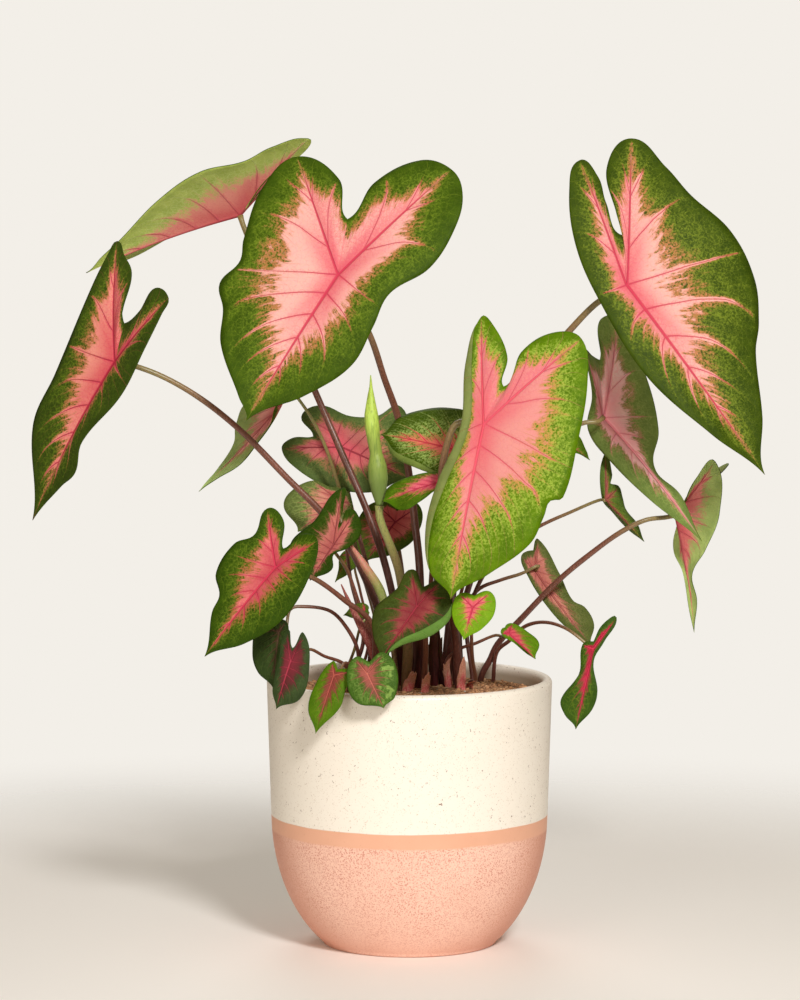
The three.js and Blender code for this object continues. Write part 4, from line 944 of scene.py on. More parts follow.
# %% Rings along a path
def tube(path, radii, sides, ridges=None):
    """Points and faces of a closed tube, and for each corner its share of the way along."""
    along = lengths_along(path)
    heading = unit(np.gradient(path, axis=0))
    across = unit(np.cross(heading[0], (0.3, 1, 0.2)))
    points = []
    angles = 2 * np.pi * np.arange(sides) / sides
    for at, forward, radius, far in zip(path, heading, radii, along / along[-1]):
        across = unit(across - forward * np.dot(across, forward))
        upright = np.cross(forward, across)
        reach = radius * (ridges(angles, far) if ridges else np.ones(sides))
        points.append(at + np.outer(reach * np.cos(angles), across)
                      + np.outer(reach * np.sin(angles), upright))
    last = len(path) - 1
    faces, rings = [], []
    for i in range(last):
        faces += [ring_quad(i, j, sides) for j in range(sides)]
        rings += [i, i, i + 1, i + 1] * sides
    faces.append(list(range(sides - 1, -1, -1)))
    faces.append([last * sides + j for j in range(sides)])
    rings += [0] * sides + [last] * sides
    return np.vstack(points), faces, along[rings] / along[-1]


def grown_map(shares):
    """The map that tells a finish how far up a stalk or a rolled leaf each corner is."""
    return dict(grown=np.stack([shares, np.zeros(len(shares))], 1))


NECK = 6 * MM
TUBER_TOP = 116
SOIL_TOP = 142
FOOT_SHARE, NECK_SHARE = 1.15, 0.75
FEWEST_STALK_RINGS, STALK_RING_STEP = 24, 2.5 * MM


def stalk_path(stalk, joint, normal, gap):
    foot = stalk["foot"]
    knots = np.vstack([metres([(*foot, TUBER_TOP), (*foot, SOIL_TOP + 2), *stalk["route"]]),
                       joint - normal * NECK, joint - normal * gap])
    path = smooth_path(knots)
    return spaced(path, max(FEWEST_STALK_RINGS, round(lengths_along(path)[-1] / STALK_RING_STEP)))


# %% [markdown]
# ## The finish of a leaf
# A caladium's colour isn't painted over the leaf; it follows the veins. The heart is pink round the
# joint and reaches furthest along each vein, its edge is torn into teeth that point to the margin,
# and the green outside it is flecked with yellow where the pink breaks up. All of that is written
# with the numbers that the blade carries, so the pattern fits any leaf, large or small.
# `spread` says how far the pink reaches towards the left and the right margin.

# %% Leaf colours
FACE = dict(
    green=(78, 102, 12), dark_green=(58, 82, 8), fleck=(124, 146, 40), ember=(196, 122, 82),
    pale=(238, 178, 168), pink=(226, 130, 132), vein=(204, 58, 84), heart=(216, 80, 100),
    spread=(0.52, 0.52), begins=0.08, teeth=1.0, flecks=0.6, patches=0.0, shade=0.0, rib=1.0, roughness=0.5,
)
UNDER = dict(
    green=(132, 150, 72), dark_green=(106, 126, 58), fleck=(168, 184, 104), ember=(196, 142, 112),
    pale=(214, 140, 126), pink=(200, 100, 102), vein=(178, 74, 84), heart=(188, 72, 80),
    teeth=0.7, flecks=0.4, patches=0.0, roughness=0.6,
)


# %% [markdown]
# ## Veins from numbers
# A main vein shows where the distance from it is small, a side vein where the order is whole, and
# its forks where three times the order is whole. `on` gathers what is known about a point of the
# blade, so that the next steps can use it. A finer net of veins is made of the borders of cells.

# %% The veins
def blade_numbers(leaf, size):
    """Where on the blade a point is, and how strongly each kind of vein shows there."""
    on = SimpleNamespace()
    on.share, on.along = leaf.pair("pattern")
    order, pace = leaf.pair("veins")
    on.from_vein, on.to_margin = leaf.pair("reach")
    on.panel, _ = leaf.pair("panel")  # 0 and 1 out from the midrib, 2 and 3 in to the sinus
    on.where = leaf.place()
    on.inner = on.panel.rise(1.2, 1.8)
    on.right = on.panel % 2.0

    on.order = order + (leaf.cloud(on.where, 0.035 / size, 1.0) - 0.5) * 0.2
    on.between = abs((on.order + 0.5) % 1.0 - 0.5)
    on.fork_between = abs((on.order * 3 + 0.5) % 1.0 - 0.5)
    on.side_offset = on.between * pace
    side_width = (1 - on.share * 0.7) * (0.5 * size)
    on.side_vein = 1 - (on.side_offset / side_width).rise(0.3, 1.3)
    forks = 1 - (on.fork_between * pace / (side_width * 2)).rise(0.3, 1.3)
    on.fork_vein = forks * on.share.rise(0.3, 0.5)
    on.rib_width = on.along.rise(0.0, 0.9, 0.25, 1.0) * on.along.rise(1.1, 2.0, 1.0, 0.3) * (0.95 * size)
    on.main_vein = 1 - (on.from_vein / on.rib_width).rise(0.5, 1.4)
    on.net = 1 - leaf.cells(on.where, 0.34, "DISTANCE_TO_EDGE").rise(0.015, 0.1)
    return on


# %% [markdown]
# ## The torn heart
# `edge` is above 0 inside the heart and below 0 outside. It adds up a broad heart shape, the teeth
# along the side veins, which are longer where the dice say so, and three layers of noise. Two of
# them are drawn out along the veins, so that the edge is torn and not just rough.

# %% The edge of the heart
def tear_heart(leaf, on, tone, seed):
    """Notes on each point how far inside the heart it is, how pink, and how broken up."""
    size, begins = tone["rib"], tone["begins"]
    along_streak = on.panel * 7 + seed
    streaks = leaf.cloud(leaf.vector(on.order * (5 * size), on.from_vein / 11, along_streak), 1.0, 3.0, 0.6)
    fine = leaf.vector(on.order * (17 * size), on.from_vein / 4.5, along_streak)
    on.wisps = leaf.cloud(fine, 1.0, 3.0, 0.6)
    on.grain = leaf.cloud(on.where, 1.1, 3.0, 0.7)
    on.blotches = leaf.cloud(on.where, 0.14, 2.0)
    luck = leaf.dice(leaf.vector((on.order + 0.5).floor(), (on.panel + 0.5).floor(), float(seed)))
    spread_left, spread_right = tone["spread"]
    spread = on.right * (spread_right - spread_left) + spread_left + on.inner * 0.2
    heart = on.along.rise(begins, 1.0) * on.along.rise(1.15, 1.9, 1.0, 0.05) * spread
    reach_out = on.along.rise(0.05, 0.4) * on.along.rise(1.55, 1.95, 1.0, 0.2) * tone["teeth"]
    teeth = (1 - on.between.rise(0.0, 0.3)) * 0.14 + (1 - on.between.rise(0.0, 0.08)) * 0.16
    teeth = (teeth * (luck + 0.35) + (1 - on.fork_between.rise(0.0, 0.25)) * 0.07) * reach_out
    ragged = (streaks - 0.5) * 0.42 + (on.wisps - 0.5) * 0.38 + (on.blotches - 0.5) * 0.3
    rim = on.to_margin.rise(0.5 * size, 4.5 * size, -0.4, 0.0)
    on.edge = heart + teeth + ragged + rim - on.share
    crisp = on.edge + (on.grain - 0.5) * 0.3
    on.whole_rib = on.along.rise(begins - 0.05, begins + 0.12) * on.along.rise(1.7, 1.92, 1.0, 0.0)
    near_rib = (1 - (on.from_vein / on.rib_width).rise(0.9, 2.6)) * on.whole_rib
    near_rib = near_rib * min(1.0, 8 * max(tone["spread"]))
    soft = 0.12 * (1 - size)
    on.pinkness = crisp.rise(-0.02 - soft, 0.06 + soft).larger(near_rib)
    on.breaking = crisp.rise(-0.22, -0.02)


# %% The green and the pink
def green_skin(leaf, on, tone, colour):
    """Two greens in soft patches, with flecks and embers where the pink breaks up."""
    specks = leaf.cloud(on.where, 0.8, 4.0, 0.7)
    fading = (on.edge.rise(-0.9, -0.08) * 0.8 + 0.2) * on.to_margin.rise(0.4, 3.0)
    lightness = on.blotches.rise(0.3, 0.7) * 0.6 + on.grain * 0.3
    green = leaf.blend(lightness, colour["dark_green"], colour["green"])
    green = leaf.blend(on.right * (0.7 * tone["shade"]), green, colour["dark_green"])
    yellowing = (specks + fading * 0.2 - 0.1).rise(0.5, 0.66) * fading * tone["flecks"]
    if tone["patches"]:
        patch = leaf.cloud(on.where, 0.32, 1.0).rise(0.48, 0.6) * (1 - on.breaking)
        patch = patch * on.to_margin.rise(0.5, 2.0)
        yellowing = yellowing.larger(patch * (on.right * 0.7 + 0.3) * tone["patches"])
    green = leaf.blend((yellowing * 0.7 + on.net * fading * 0.3).smaller(1.0), green, colour["fleck"])
    return leaf.blend(on.breaking * specks.rise(0.4, 0.54) * 0.85, green, colour["ember"])


def pink_skin(leaf, on, tone, colour):
    """Pale between the veins, deeper beside them, and in the heart's own colour round the joint."""
    size = tone["rib"]
    near_joint = 1 - (on.from_vein.larger(abs(on.along - 1) * (30 * size)) / (16 * size)).rise(0.0, 1.0)
    deepness = (1 - (on.from_vein / 10).rise(0.0, 1.0)) * 0.35 + on.net * 0.22
    deepness = deepness + (1 - on.side_offset.rise(0.3, 2.6)) * 0.35
    deepness = deepness + on.inner * 0.45 + (on.grain - 0.5) * 1.5 + (on.wisps - 0.5) * 0.5
    pink = leaf.blend(deepness.rise(0.0, 1.0), colour["pale"], colour["pink"])
    pink = leaf.blend((near_joint * 0.75).larger(on.right * tone["shade"]), pink, colour["heart"])
    return leaf.blend((1 - on.edge.rise(0.0, 0.14)) * 0.6, pink, colour["ember"])


# %% A whole leaf finish
def leaf_finish(name, seed, under, look):
    tone = {**FACE, **look, **(UNDER if under else {}), **(look.get("under", {}) if under else {})}
    tone = {"outer": tone["fleck"], **tone}
    is_colour = lambda value: isinstance(value, tuple) and len(value) == 3
    colour = {key: paint(*value) for key, value in tone.items() if is_colour(value)}
    leaf = Shader(name)
    on = blade_numbers(leaf, tone["rib"])
    tear_heart(leaf, on, tone, seed)
    green = green_skin(leaf, on, tone, colour)
    skin = leaf.blend(on.pinkness, green, pink_skin(leaf, on, tone, colour))
    inside = on.edge.rise(-0.22, -0.02)
    veined = (on.main_vein * on.whole_rib).larger(on.side_vein * inside * 0.85)
    skin = leaf.blend(veined * (0.6 if under else 0.9), skin, colour["vein"])
    skin = leaf.blend(on.fork_vein * inside * 0.45, skin, colour["ember"])
    outer_veins = on.side_vein.larger(on.fork_vein * 0.7) * (1 - inside)
    outer_veins = outer_veins.larger(on.main_vein * (1 - on.whole_rib)) * (0.7 if under else 0.45)
    skin = leaf.blend(outer_veins, skin, colour["outer"])

    relief = (on.main_vein * 0.3).larger(on.side_vein * 0.26)
    relief = relief.larger(on.fork_vein * 0.12).larger(on.net * 0.05)
    bump = (relief if under else 0.3 - relief) + on.grain * 0.04
    return leaf.finish(skin, tone["roughness"] + (on.grain - 0.5) * 0.2, bump,
                       Subsurface_Weight=0.1, Subsurface_Radius=(0.6, 0.8, 0.2), Subsurface_Scale=0.0015,
                       Specular_IOR_Level=0.06)


# %% [markdown]
# ## The finish of a stalk
# The stalks are glossy and dark red-brown, with fine lengthwise streaks, and turn olive where they
# near the light. One function makes the red-brown finish and the olive one of a few thin stalks, with
# the share of the way up as its guide.

# %% Stalk finish
def stem_finish(name, low, high, top):
    stalk = Shader(name)
    up, _ = stalk.pair("grown")
    streak = stalk.cloud(stalk.place((1.6, 1.6, 0.07)), 1.0, 3.0, 0.6)
    mottle = stalk.cloud(stalk.place((1, 1, 0.5)), 1.5, 3.0, 0.7)
    skin = stalk.blend(up.rise(0.15, 0.75), paint(*low), paint(*high))
    skin = stalk.blend(up.rise(0.72, 0.97) * 0.9, skin, paint(*top))
    skin = stalk.blend(streak.rise(0.5, 0.7) * 0.45, skin, paint(164, 110, 92))
    skin = stalk.blend(mottle.rise(0.52, 0.62) * 0.45, skin, paint(58, 28, 24))
    return stalk.finish(skin, 0.36 + (streak - 0.5) * 0.2, streak * 0.12, Coat_Weight=0.15,
                        Coat_Roughness=0.3, Subsurface_Weight=0.05, Subsurface_Scale=0.001)


red_stalk = stem_finish("red_stalk", (94, 50, 42), (128, 78, 60), (148, 138, 84))
olive_stalk = stem_finish("olive_stalk", (112, 84, 54), (136, 124, 70), (158, 166, 92))
print("stalk finishes:", red_stalk.name, olive_stalk.name)

# %% [markdown]
# ## Leaf looks
# No two leaves of the plant are alike. Young ones near the rim are darker with a crimson star, the
# shaded ones are duller, and the old broad ones are bright with a wide pale heart. Only what differs
# from the common leaf is written down.

# %% Looks by leaf
LOOKS = dict(
    # Painted light: the underside of top_back is painted paler for the light that shines through the blade.
    top_back=dict(under=dict(spread=(0.38, 0.42), green=(176, 190, 98), dark_green=(146, 164, 78),
                             fleck=(196, 206, 130), ember=(206, 150, 120))),
    top_front=dict(spread=(0.58, 0.41), begins=0.16, green=(70, 94, 14), dark_green=(52, 74, 8)),
    far_left=dict(spread=(0.5, 0.03), begins=0.33, teeth=1.3, green=(64, 84, 20), dark_green=(50, 66, 16),
                  flecks=0.4, pale=(236, 152, 136), pink=(222, 100, 108), heart=(204, 62, 82),
                  vein=(176, 42, 66), outer=(150, 92, 66)),
    right_large=dict(spread=(0.26, 0.33), begins=0.16, teeth=1.3, flecks=0.8, green=(70, 88, 14),
                     dark_green=(50, 68, 8), fleck=(130, 146, 44)),
    # Painted light: the underside of right_shade is painted far paler and pinker for the light that shines
    # through the blade.
    right_shade=dict(under=dict(spread=(0.4, 0.42), green=(130, 150, 76), dark_green=(106, 128, 62),
                                pale=(255, 216, 212), pink=(255, 180, 184), heart=(252, 150, 160),
                                vein=(220, 100, 116))),
    far_right=dict(under=dict(spread=(0.42, 0.36), green=(184, 202, 122), dark_green=(146, 168, 94),
                              pale=(236, 150, 140), pink=(226, 118, 120))),
    front_large=dict(spread=(0.52, 0.56), begins=0.22, green=(100, 134, 8), dark_green=(74, 106, 6),
                     fleck=(156, 178, 66), pale=(226, 148, 142), pink=(220, 120, 126), heart=(222, 96, 110),
                     vein=(224, 88, 106), ember=(204, 136, 84), outer=(190, 150, 96), flecks=1.2,
                     under=dict(spread=(0.2, 0.2), green=(132, 142, 80), dark_green=(112, 124, 66))),
    upper_mid_back=dict(spread=(0.46, 0.5), teeth=0.7, flecks=0.4, pale=(210, 126, 120), pink=(190, 98, 100),
                        vein=(150, 52, 66), green=(92, 112, 58), dark_green=(76, 96, 46),
                        fleck=(128, 140, 76), ember=(170, 120, 84)),
    mid_left_hanging=dict(under=dict(spread=(0.5, 0.46), begins=0.2, green=(182, 202, 130),
                                     dark_green=(152, 174, 104), pale=(255, 184, 176),
                                     pink=(250, 162, 158))),
    centre_right_upper=dict(spread=(0.18, 0.3), flecks=1.2, pale=(240, 138, 112), pink=(232, 104, 100),
                            vein=(206, 60, 76), fleck=(168, 192, 104)),
    centre_right_lower=dict(spread=(0.55, 0.3), flecks=0.3, pale=(224, 116, 128), pink=(206, 74, 98),
                            green=(88, 130, 14)),
    mid_right_hanging=dict(under=dict(spread=(0.52, 0.5), green=(100, 110, 54), dark_green=(80, 92, 42),
                                      pale=(212, 144, 126), pink=(196, 118, 106), vein=(158, 78, 74),
                                      heart=(176, 94, 88), ember=(140, 106, 74), fleck=(140, 136, 84))),
    lower_right_hanging=dict(spread=(0.32, 0.34), teeth=0.5, flecks=0.3, green=(62, 92, 24),
                             dark_green=(46, 72, 16), pale=(196, 62, 80), pink=(180, 40, 64),
                             heart=(160, 30, 54), ember=(120, 70, 50)),
    narrow_right=dict(spread=(0.06, 0.1), begins=0.3, flecks=0.3, green=(98, 122, 52),
                      dark_green=(76, 98, 38), pale=(176, 110, 90), pink=(170, 96, 84),
                      heart=(180, 90, 90), vein=(150, 80, 70), ember=(140, 110, 60)),
    front_centre=dict(spread=(0.36, 0.42), teeth=0.9, flecks=0.15, green=(66, 78, 24),
                      dark_green=(50, 60, 18),
                      pale=(154, 76, 70), pink=(140, 58, 58), heart=(124, 42, 50), vein=(152, 50, 62),
                      ember=(104, 74, 44), fleck=(84, 108, 44),
                      under=dict(spread=(0.1, 0.1), green=(104, 140, 62), dark_green=(90, 124, 52))),
    left_mid=dict(spread=(0.36, 0.26), teeth=0.6, flecks=0.45, pale=(228, 130, 124), pink=(208, 92, 100),
                  heart=(178, 50, 70), shade=0.55, green=(60, 86, 10), dark_green=(44, 68, 6),
                  ember=(176, 104, 66)),
    left_twisted=dict(spread=(0.46, 0.46), pale=(206, 130, 116), pink=(190, 104, 96), heart=(168, 80, 80),
                      vein=(146, 66, 68), green=(54, 80, 14), dark_green=(42, 64, 8), ember=(120, 92, 54),
                      fleck=(84, 108, 40), flecks=0.1),
    left_back_low=dict(under=dict(spread=(0.4, 0.4), green=(100, 114, 58), dark_green=(86, 100, 48),
                                  pale=(226, 156, 138), pink=(206, 128, 114))),
    centre_back=dict(spread=(0.66, 0.66), teeth=0.7, flecks=0.3, pale=(228, 132, 130), pink=(212, 104, 108),
                     heart=(198, 84, 92), vein=(150, 40, 62), green=(92, 116, 50), ember=(150, 96, 66)),
    rim_left_dark=dict(spread=(0.02, 0.02), green=(60, 80, 36), dark_green=(46, 62, 28), pale=(98, 70, 54),
                       pink=(92, 58, 48), heart=(92, 52, 48), vein=(104, 80, 62), ember=(74, 66, 38),
                       fleck=(92, 108, 60), flecks=0.2),
    rim_left_pink=dict(spread=(0.6, 0.6), teeth=0.8, green=(62, 80, 42), dark_green=(48, 62, 32),
                       pale=(88, 48, 44), pink=(96, 44, 46), heart=(136, 46, 60), vein=(176, 64, 80),
                       ember=(72, 56, 40), fleck=(86, 102, 58), flecks=0.15),
    rim_front_left=dict(spread=(0.36, 0.36), begins=0.2, green=(88, 124, 14), dark_green=(68, 102, 10),
                        pale=(142, 82, 62), pink=(136, 66, 54), heart=(130, 58, 52), vein=(180, 92, 80),
                        ember=(106, 74, 38), flecks=0.2),
    rim_front_mottled=dict(spread=(0.34, 0.26), green=(74, 110, 34), dark_green=(58, 88, 24),
                           fleck=(142, 172, 84), flecks=0.3, patches=1.0, pale=(122, 84, 64),
                           pink=(132, 76, 62), heart=(176, 92, 84), vein=(196, 112, 98), ember=(98, 76, 46)),
    tiny_front=dict(spread=(0.3, 0.28), begins=0.4, flecks=0.3, green=(122, 164, 20),
                    dark_green=(104, 148, 14), pale=(236, 140, 132), pink=(228, 108, 116),
                    heart=(220, 92, 106), ember=(190, 140, 70), fleck=(160, 184, 60)),
    tiny_right=dict(spread=(0.34, 0.34), green=(104, 144, 22), dark_green=(86, 128, 16), pale=(216, 110, 100),
                    pink=(206, 80, 92), flecks=0.3, ember=(160, 120, 60)),
    small_back_right=dict(spread=(0.0, 0.0), green=(96, 130, 30), flecks=0.3),
    small_left_inner=dict(spread=(0.0, 0.0), green=(108, 136, 44), dark_green=(90, 116, 34), flecks=0.3),
    small_left_low=dict(spread=(0.0, 0.0), green=(92, 118, 40), dark_green=(76, 100, 30), flecks=0.3),
)

# %% [markdown]
# ## Growing the leaves
# For each leaf the blade is ruled and closed, and the stalk is led from the tuber through the soil to
# the blade's underside. The foot of a stout stalk is wider, as the real ones clasp each other there.

# %% Blades and stalks
STALK_SIDES = 12
THINNEST_RIB = 0.4
FULL_RIB_LENGTH = 0.09  # a leaf this long, in metres, has ribs of the full width


def stalk_mesh(stalk, joint, normal):
    path = stalk_path(stalk, joint, normal, BLADE_THICKNESS / 2)
    along = lengths_along(path)
    share = along / along[-1]
    radius = np.interp(share, [0, 0.5, 1], [FOOT_SHARE, 1, NECK_SHARE]) * stalk["radius"] * MM
    radius = radius * (1 + 0.25 * np.exp(-((along[-1] - along) / (2 * MM)) ** 2))
    phase = stalk["foot"][0]
    wobble = lambda angles, far: 1 + 0.03 * np.sin(3 * angles + phase) + 0.02 * np.sin(2 * angles + 40 * far)
    points, faces, shares = tube(path, radius, STALK_SIDES, wobble)
    return points, faces, grown_map(shares)


def joined(first, second, first_finish, second_finish):
    """Two closed meshes as one piece; a map that one of them lacks is filled with zeros."""
    (points_a, faces_a, maps_a), (points_b, faces_b, maps_b) = first, second
    faces = faces_a + shifted(faces_b, len(points_a))
    corners = [sum(map(len, group)) for group in (faces_a, faces_b)]
    maps = {}
    for key in {**maps_a, **maps_b}:
        parts = [m[key] if key in m else np.zeros((n, 2)) for m, n in zip((maps_a, maps_b), corners)]
        maps[key] = np.vstack(parts)
    return np.vstack([points_a, points_b]), faces, list(first_finish) + list(second_finish), maps


# %% All the leaves
for seed, (name, leaf) in enumerate(LEAVES.items()):
    points, faces, sides, maps, surface, normals = blade_mesh(leaf)
    joint = metres(leaf["joint"])
    nearest = np.argmin(np.linalg.norm(surface - joint, axis=1))
    square = unit(normals[nearest] + face_normal(leaf))
    long = np.linalg.norm(joint - metres(leaf["tip"])) / FULL_RIB_LENGTH
    look = {"rib": min(1.0, THINNEST_RIB + (1 - THINNEST_RIB) * long), **LOOKS.get(name, {})}
    finishes = [leaf_finish("leaf_face_" + name, seed, False, look),
                leaf_finish("leaf_back_" + name, seed, True, look)]
    stalk = stalk_mesh(leaf["stalk"], joint, square)
    olive = name == "mid_left_hanging"
    if leaf.get("whole"):
        points, faces, finish_of_face, maps = joined((points, faces, maps), stalk, sides, [2] * len(stalk[1]))
        stalk_finish = olive_stalk if name == "small_left_low" else red_stalk
        make_piece("small_leaf_" + name, points, faces, finishes + [stalk_finish], ["leaf_" + name],
                   finish_of_face, maps)
    else:
        make_piece("leaf_" + name, points, faces, finishes, ["blade_" + name], sides, maps)
        make_piece("petiole_" + name, stalk[0], stalk[1], [olive_stalk if olive else red_stalk],
                   ["stalk_" + name], None, stalk[2])
print("leaves grown:", len(LEAVES))

# %% [markdown]
# ## The spear, the young leaf and the sheath
# A new leaf comes up rolled like an umbrella. It is a spindle whose skin overlaps itself once, so its
# section is a spiral with one step, and the step winds up the spindle. The papery sheath that it came
# out of stays at its foot. All three are turned along a path with uneven radii.

# %% Rolled leaves
SPEAR = dict(points=[(-16.7, -26, 249), (-18.4, -26, 275), (-20.8, -26, 296), (-21.5, -25, 321)],
             radii=[2.1, 4.5, 5.9, 5.6, 3.6, 4, 4.4, 4.1, 2.6, 1.1, 0.3])
SPEAR_STALK = dict(radius=2.8, foot=(-2, -2), route=route_in_space([[408, 640, -8], [398, 570, -18]]))
YOUNG_LEAF = dict(points=[(-7, -3, 118), (-7, -3, 144), (-10, -6, 172), (-16, -10, 199), (-25, -10, 214),
                          (-34, -8, 227)],
                  radii=[1.5, 1.5, 1.5, 1.6, 2.2, 2.9, 2.4, 0.6])
SHEATH = dict(points=[(-16, -2, 118), (-16, -2, 144), (-19, -6, 162), (-24, -10, 174), (-31, -14, 188),
                      (-38, -16, 204)],
              radii=[2.2, 2.4, 2.8, 3.4, 2.8, 1.6, 0.4])
ROLLED_SIDES = 28
FEWEST_ROLLED_RINGS, ROLLED_RING_STEP = 40, 1.2 * MM


def rolled_mesh(roll, turns, step):
    path = smooth_path(metres(roll["points"]))
    path = spaced(path, max(FEWEST_ROLLED_RINGS, round(lengths_along(path)[-1] / ROLLED_RING_STEP)))
    share = lengths_along(path) / lengths_along(path)[-1]
    radius = np.interp(share, np.linspace(0, 1, len(roll["radii"])), roll["radii"]) * MM
    spiral = lambda angles, far: 1 - step + step * ((angles / (2 * np.pi) + turns * far) % 1.0)
    points, faces, shares = tube(path, radius, ROLLED_SIDES, spiral)
    return points, faces, grown_map(shares)


# %% Skins of the rolled leaves
def rolled_finish(name, base, middle, tip, streaks, streak_share, roughness, speckled=0.0,
                  turns_at=(0.1, 0.45)):
    skin = Shader(name)
    up, _ = skin.pair("grown")
    streak = skin.cloud(skin.place((1.4, 1.4, 0.12)), 1.0, 3.0, 0.6)
    grain = skin.cloud(skin.place(), 1.3, 3.0, 0.7)
    colour = skin.blend(up.rise(turns_at[0], turns_at[0] + 0.3), paint(*base), paint(*middle))
    colour = skin.blend(up.rise(turns_at[1], turns_at[1] + 0.2), colour, paint(*tip))
    colour = skin.blend(streak.rise(0.48, 0.68) * streak_share, colour, paint(*streaks))
    colour = skin.blend(grain.rise(0.5, 0.62) * speckled, colour, paint(*streaks))
    return skin.finish(colour, roughness + (streak - 0.5) * 0.15, streak * 0.1, Specular_IOR_Level=0.3,
                       Subsurface_Weight=0.15, Subsurface_Scale=0.002, Subsurface_Radius=(0.6, 1.0, 0.3))


spear_finish = rolled_finish("spear_skin", (112, 132, 66), (148, 168, 76), (188, 214, 92), (104, 128, 52),
                             0.6, 0.45)
young_finish = rolled_finish("young_leaf_skin", (104, 64, 50), (142, 158, 78), (214, 128, 118),
                             (168, 166, 112), 0.6, 0.5, 0.5, (0.35, 0.7))
sheath_finish = rolled_finish("sheath_skin", (150, 66, 70), (170, 84, 84), (150, 72, 68), (214, 156, 140),
                              0.5, 0.6, 0.5)
for name, roll, turns, step, finish in (("spear", SPEAR, 1.1, 0.16, spear_finish),
                                        ("young_leaf", YOUNG_LEAF, 0.8, 0.14, young_finish),
                                        ("sheath", SHEATH, 0.5, 0.2, sheath_finish)):
    points, faces, maps = rolled_mesh(roll, turns, step)
    make_piece("rolled_" + name, points, faces, [finish], [name], None, maps)
points, faces, maps = stalk_mesh(SPEAR_STALK, metres(SPEAR["points"][0]), np.array([0, 0, 1.0]))
make_piece("petiole_spear", points, faces, [olive_stalk], ["stalk_spear"], None, maps)
print("rolled leaves made")

# %% [markdown]
# ## Papery sheaths
# Round the feet of the stalks cling the sheaths that they grew out of: torn strips, dark crimson where
# they are fresh and pink where they dry. They could be painted on the stalks, but their torn tops
# stand off. So each is a strip bent round its stalk, a little wider than it, and closed all round.
# A sheath is told by its stalk, how high it reaches over the soil, which way it looks, how far round
# the stalk it goes and how far it stands off at the top.

# %% Torn strips round the stalks
SHEATH_THICKNESS = 0.3 * MM
SHEATH_RINGS, SHEATH_COLUMNS = 16, 12
sheath_random = random.Random(3)


def torn_sheath(stalk, high, towards, round_share, stand_off):
    foot = stalk["foot"]
    route = smooth_path(metres([(*foot, SOIL_TOP - 2), (*foot, SOIL_TOP + 2), *stalk["route"]]))
    along = lengths_along(route)
    tears = [sheath_random.uniform(0.0, 0.22) for _ in range(SHEATH_COLUMNS + 1)]
    layers = []
    for skin in (0.0, SHEATH_THICKNESS):
        for column in range(SHEATH_COLUMNS + 1):
            across = 2 * column / SHEATH_COLUMNS - 1
            angle = math.radians(towards) + across * math.pi * round_share
            top = high * (1 - 0.6 * abs(across) ** 1.4 - tears[column])
            for ring in range(SHEATH_RINGS + 1):
                share = ring / SHEATH_RINGS
                at = share * top * MM
                centre = [np.interp(at, along, route[:, axis]) for axis in range(3)]
                reach = (stalk["radius"] * 1.2 + 0.5 + stand_off * (at / MM / high) ** 2) * MM + skin
                reach += 0.25 * MM * math.sin(3 * across + 9 * share)
                x, y = centre[0] + reach * math.cos(angle), centre[1] + reach * math.sin(angle)
                layers.append([x, y, centre[2]])
    rows = SHEATH_RINGS + 1
    inner = np.arange((SHEATH_COLUMNS + 1) * rows).reshape(-1, rows)
    outer = inner + inner.size
    faces, shares = [], []

    def add(ring_of_corners):
        faces.append([int(corner) for corner in ring_of_corners])
        shares.extend((corner % rows) / SHEATH_RINGS for corner in ring_of_corners)

    for i in range(SHEATH_COLUMNS):
        for j in range(SHEATH_RINGS):
            a, b, c, d = inner[i, j], inner[i + 1, j], inner[i + 1, j + 1], inner[i, j + 1]
            add([a, d, c, b])
            add([corner + inner.size for corner in (a, b, c, d)])
        add([inner[i, 0], inner[i + 1, 0], outer[i + 1, 0], outer[i, 0]])
        add([inner[i + 1, -1], inner[i, -1], outer[i, -1], outer[i + 1, -1]])
    for j in range(SHEATH_RINGS):
        add([inner[0, j + 1], inner[0, j], outer[0, j], outer[0, j + 1]])
        add([inner[-1, j], inner[-1, j + 1], outer[-1, j + 1], outer[-1, j]])
    return layers, faces, shares


# %% Where the sheaths stand
FRESH, DRY = 0, 1
TORN_SHEATHS = [("top_front", 50, -100, 0.6, 3.4, FRESH), ("centre_right_lower", 40, -80, 0.6, 3, FRESH),
                ("top_back", 48, -80, 0.6, 5, FRESH), ("centre_back", 46, -90, 0.6, 5, FRESH),
                ("far_left", 34, -120, 0.55, 2.6, FRESH), ("right_large", 30, -70, 0.55, 2.4, FRESH),
                ("centre_right_upper", 38, -90, 0.6, 3.4, FRESH), ("tiny_right", 24, -75, 0.5, 1.8, DRY),
                ("spear", 17, -50, 0.4, 3.4, DRY), ("front_centre", 20, -60, 0.4, 2, DRY),
                ("front_large", 24, -40, 0.4, 1.8, DRY), ("tiny_front", 19, -95, 0.4, 1.4, DRY),
                ("left_mid", 17, -80, 0.45, 2, DRY)]
points, faces, shares, kinds = [], [], [], []
for name, high, towards, round_share, stand_off, kind in TORN_SHEATHS:
    stalk = SPEAR_STALK if name == "spear" else LEAVES[name]["stalk"]
    strip = torn_sheath(stalk, high, towards, round_share, stand_off)
    faces += shifted(strip[1], len(points))
    points += strip[0]
    shares += strip[2]
    kinds += [kind] * len(strip[1])
torn_finishes = [rolled_finish("fresh_sheath_skin", (84, 26, 28), (66, 28, 26), (86, 44, 38), (120, 54, 52),
                               0.45, 0.6, 0.2),
                 rolled_finish("dry_sheath_skin", (196, 84, 90), (206, 96, 96), (202, 136, 112),
                               (236, 178, 158), 0.6, 0.7, 0.5)]
make_piece("torn_sheaths", points, faces, torn_finishes, [], kinds, grown_map(shares))
print("torn sheaths:", len(TORN_SHEATHS))

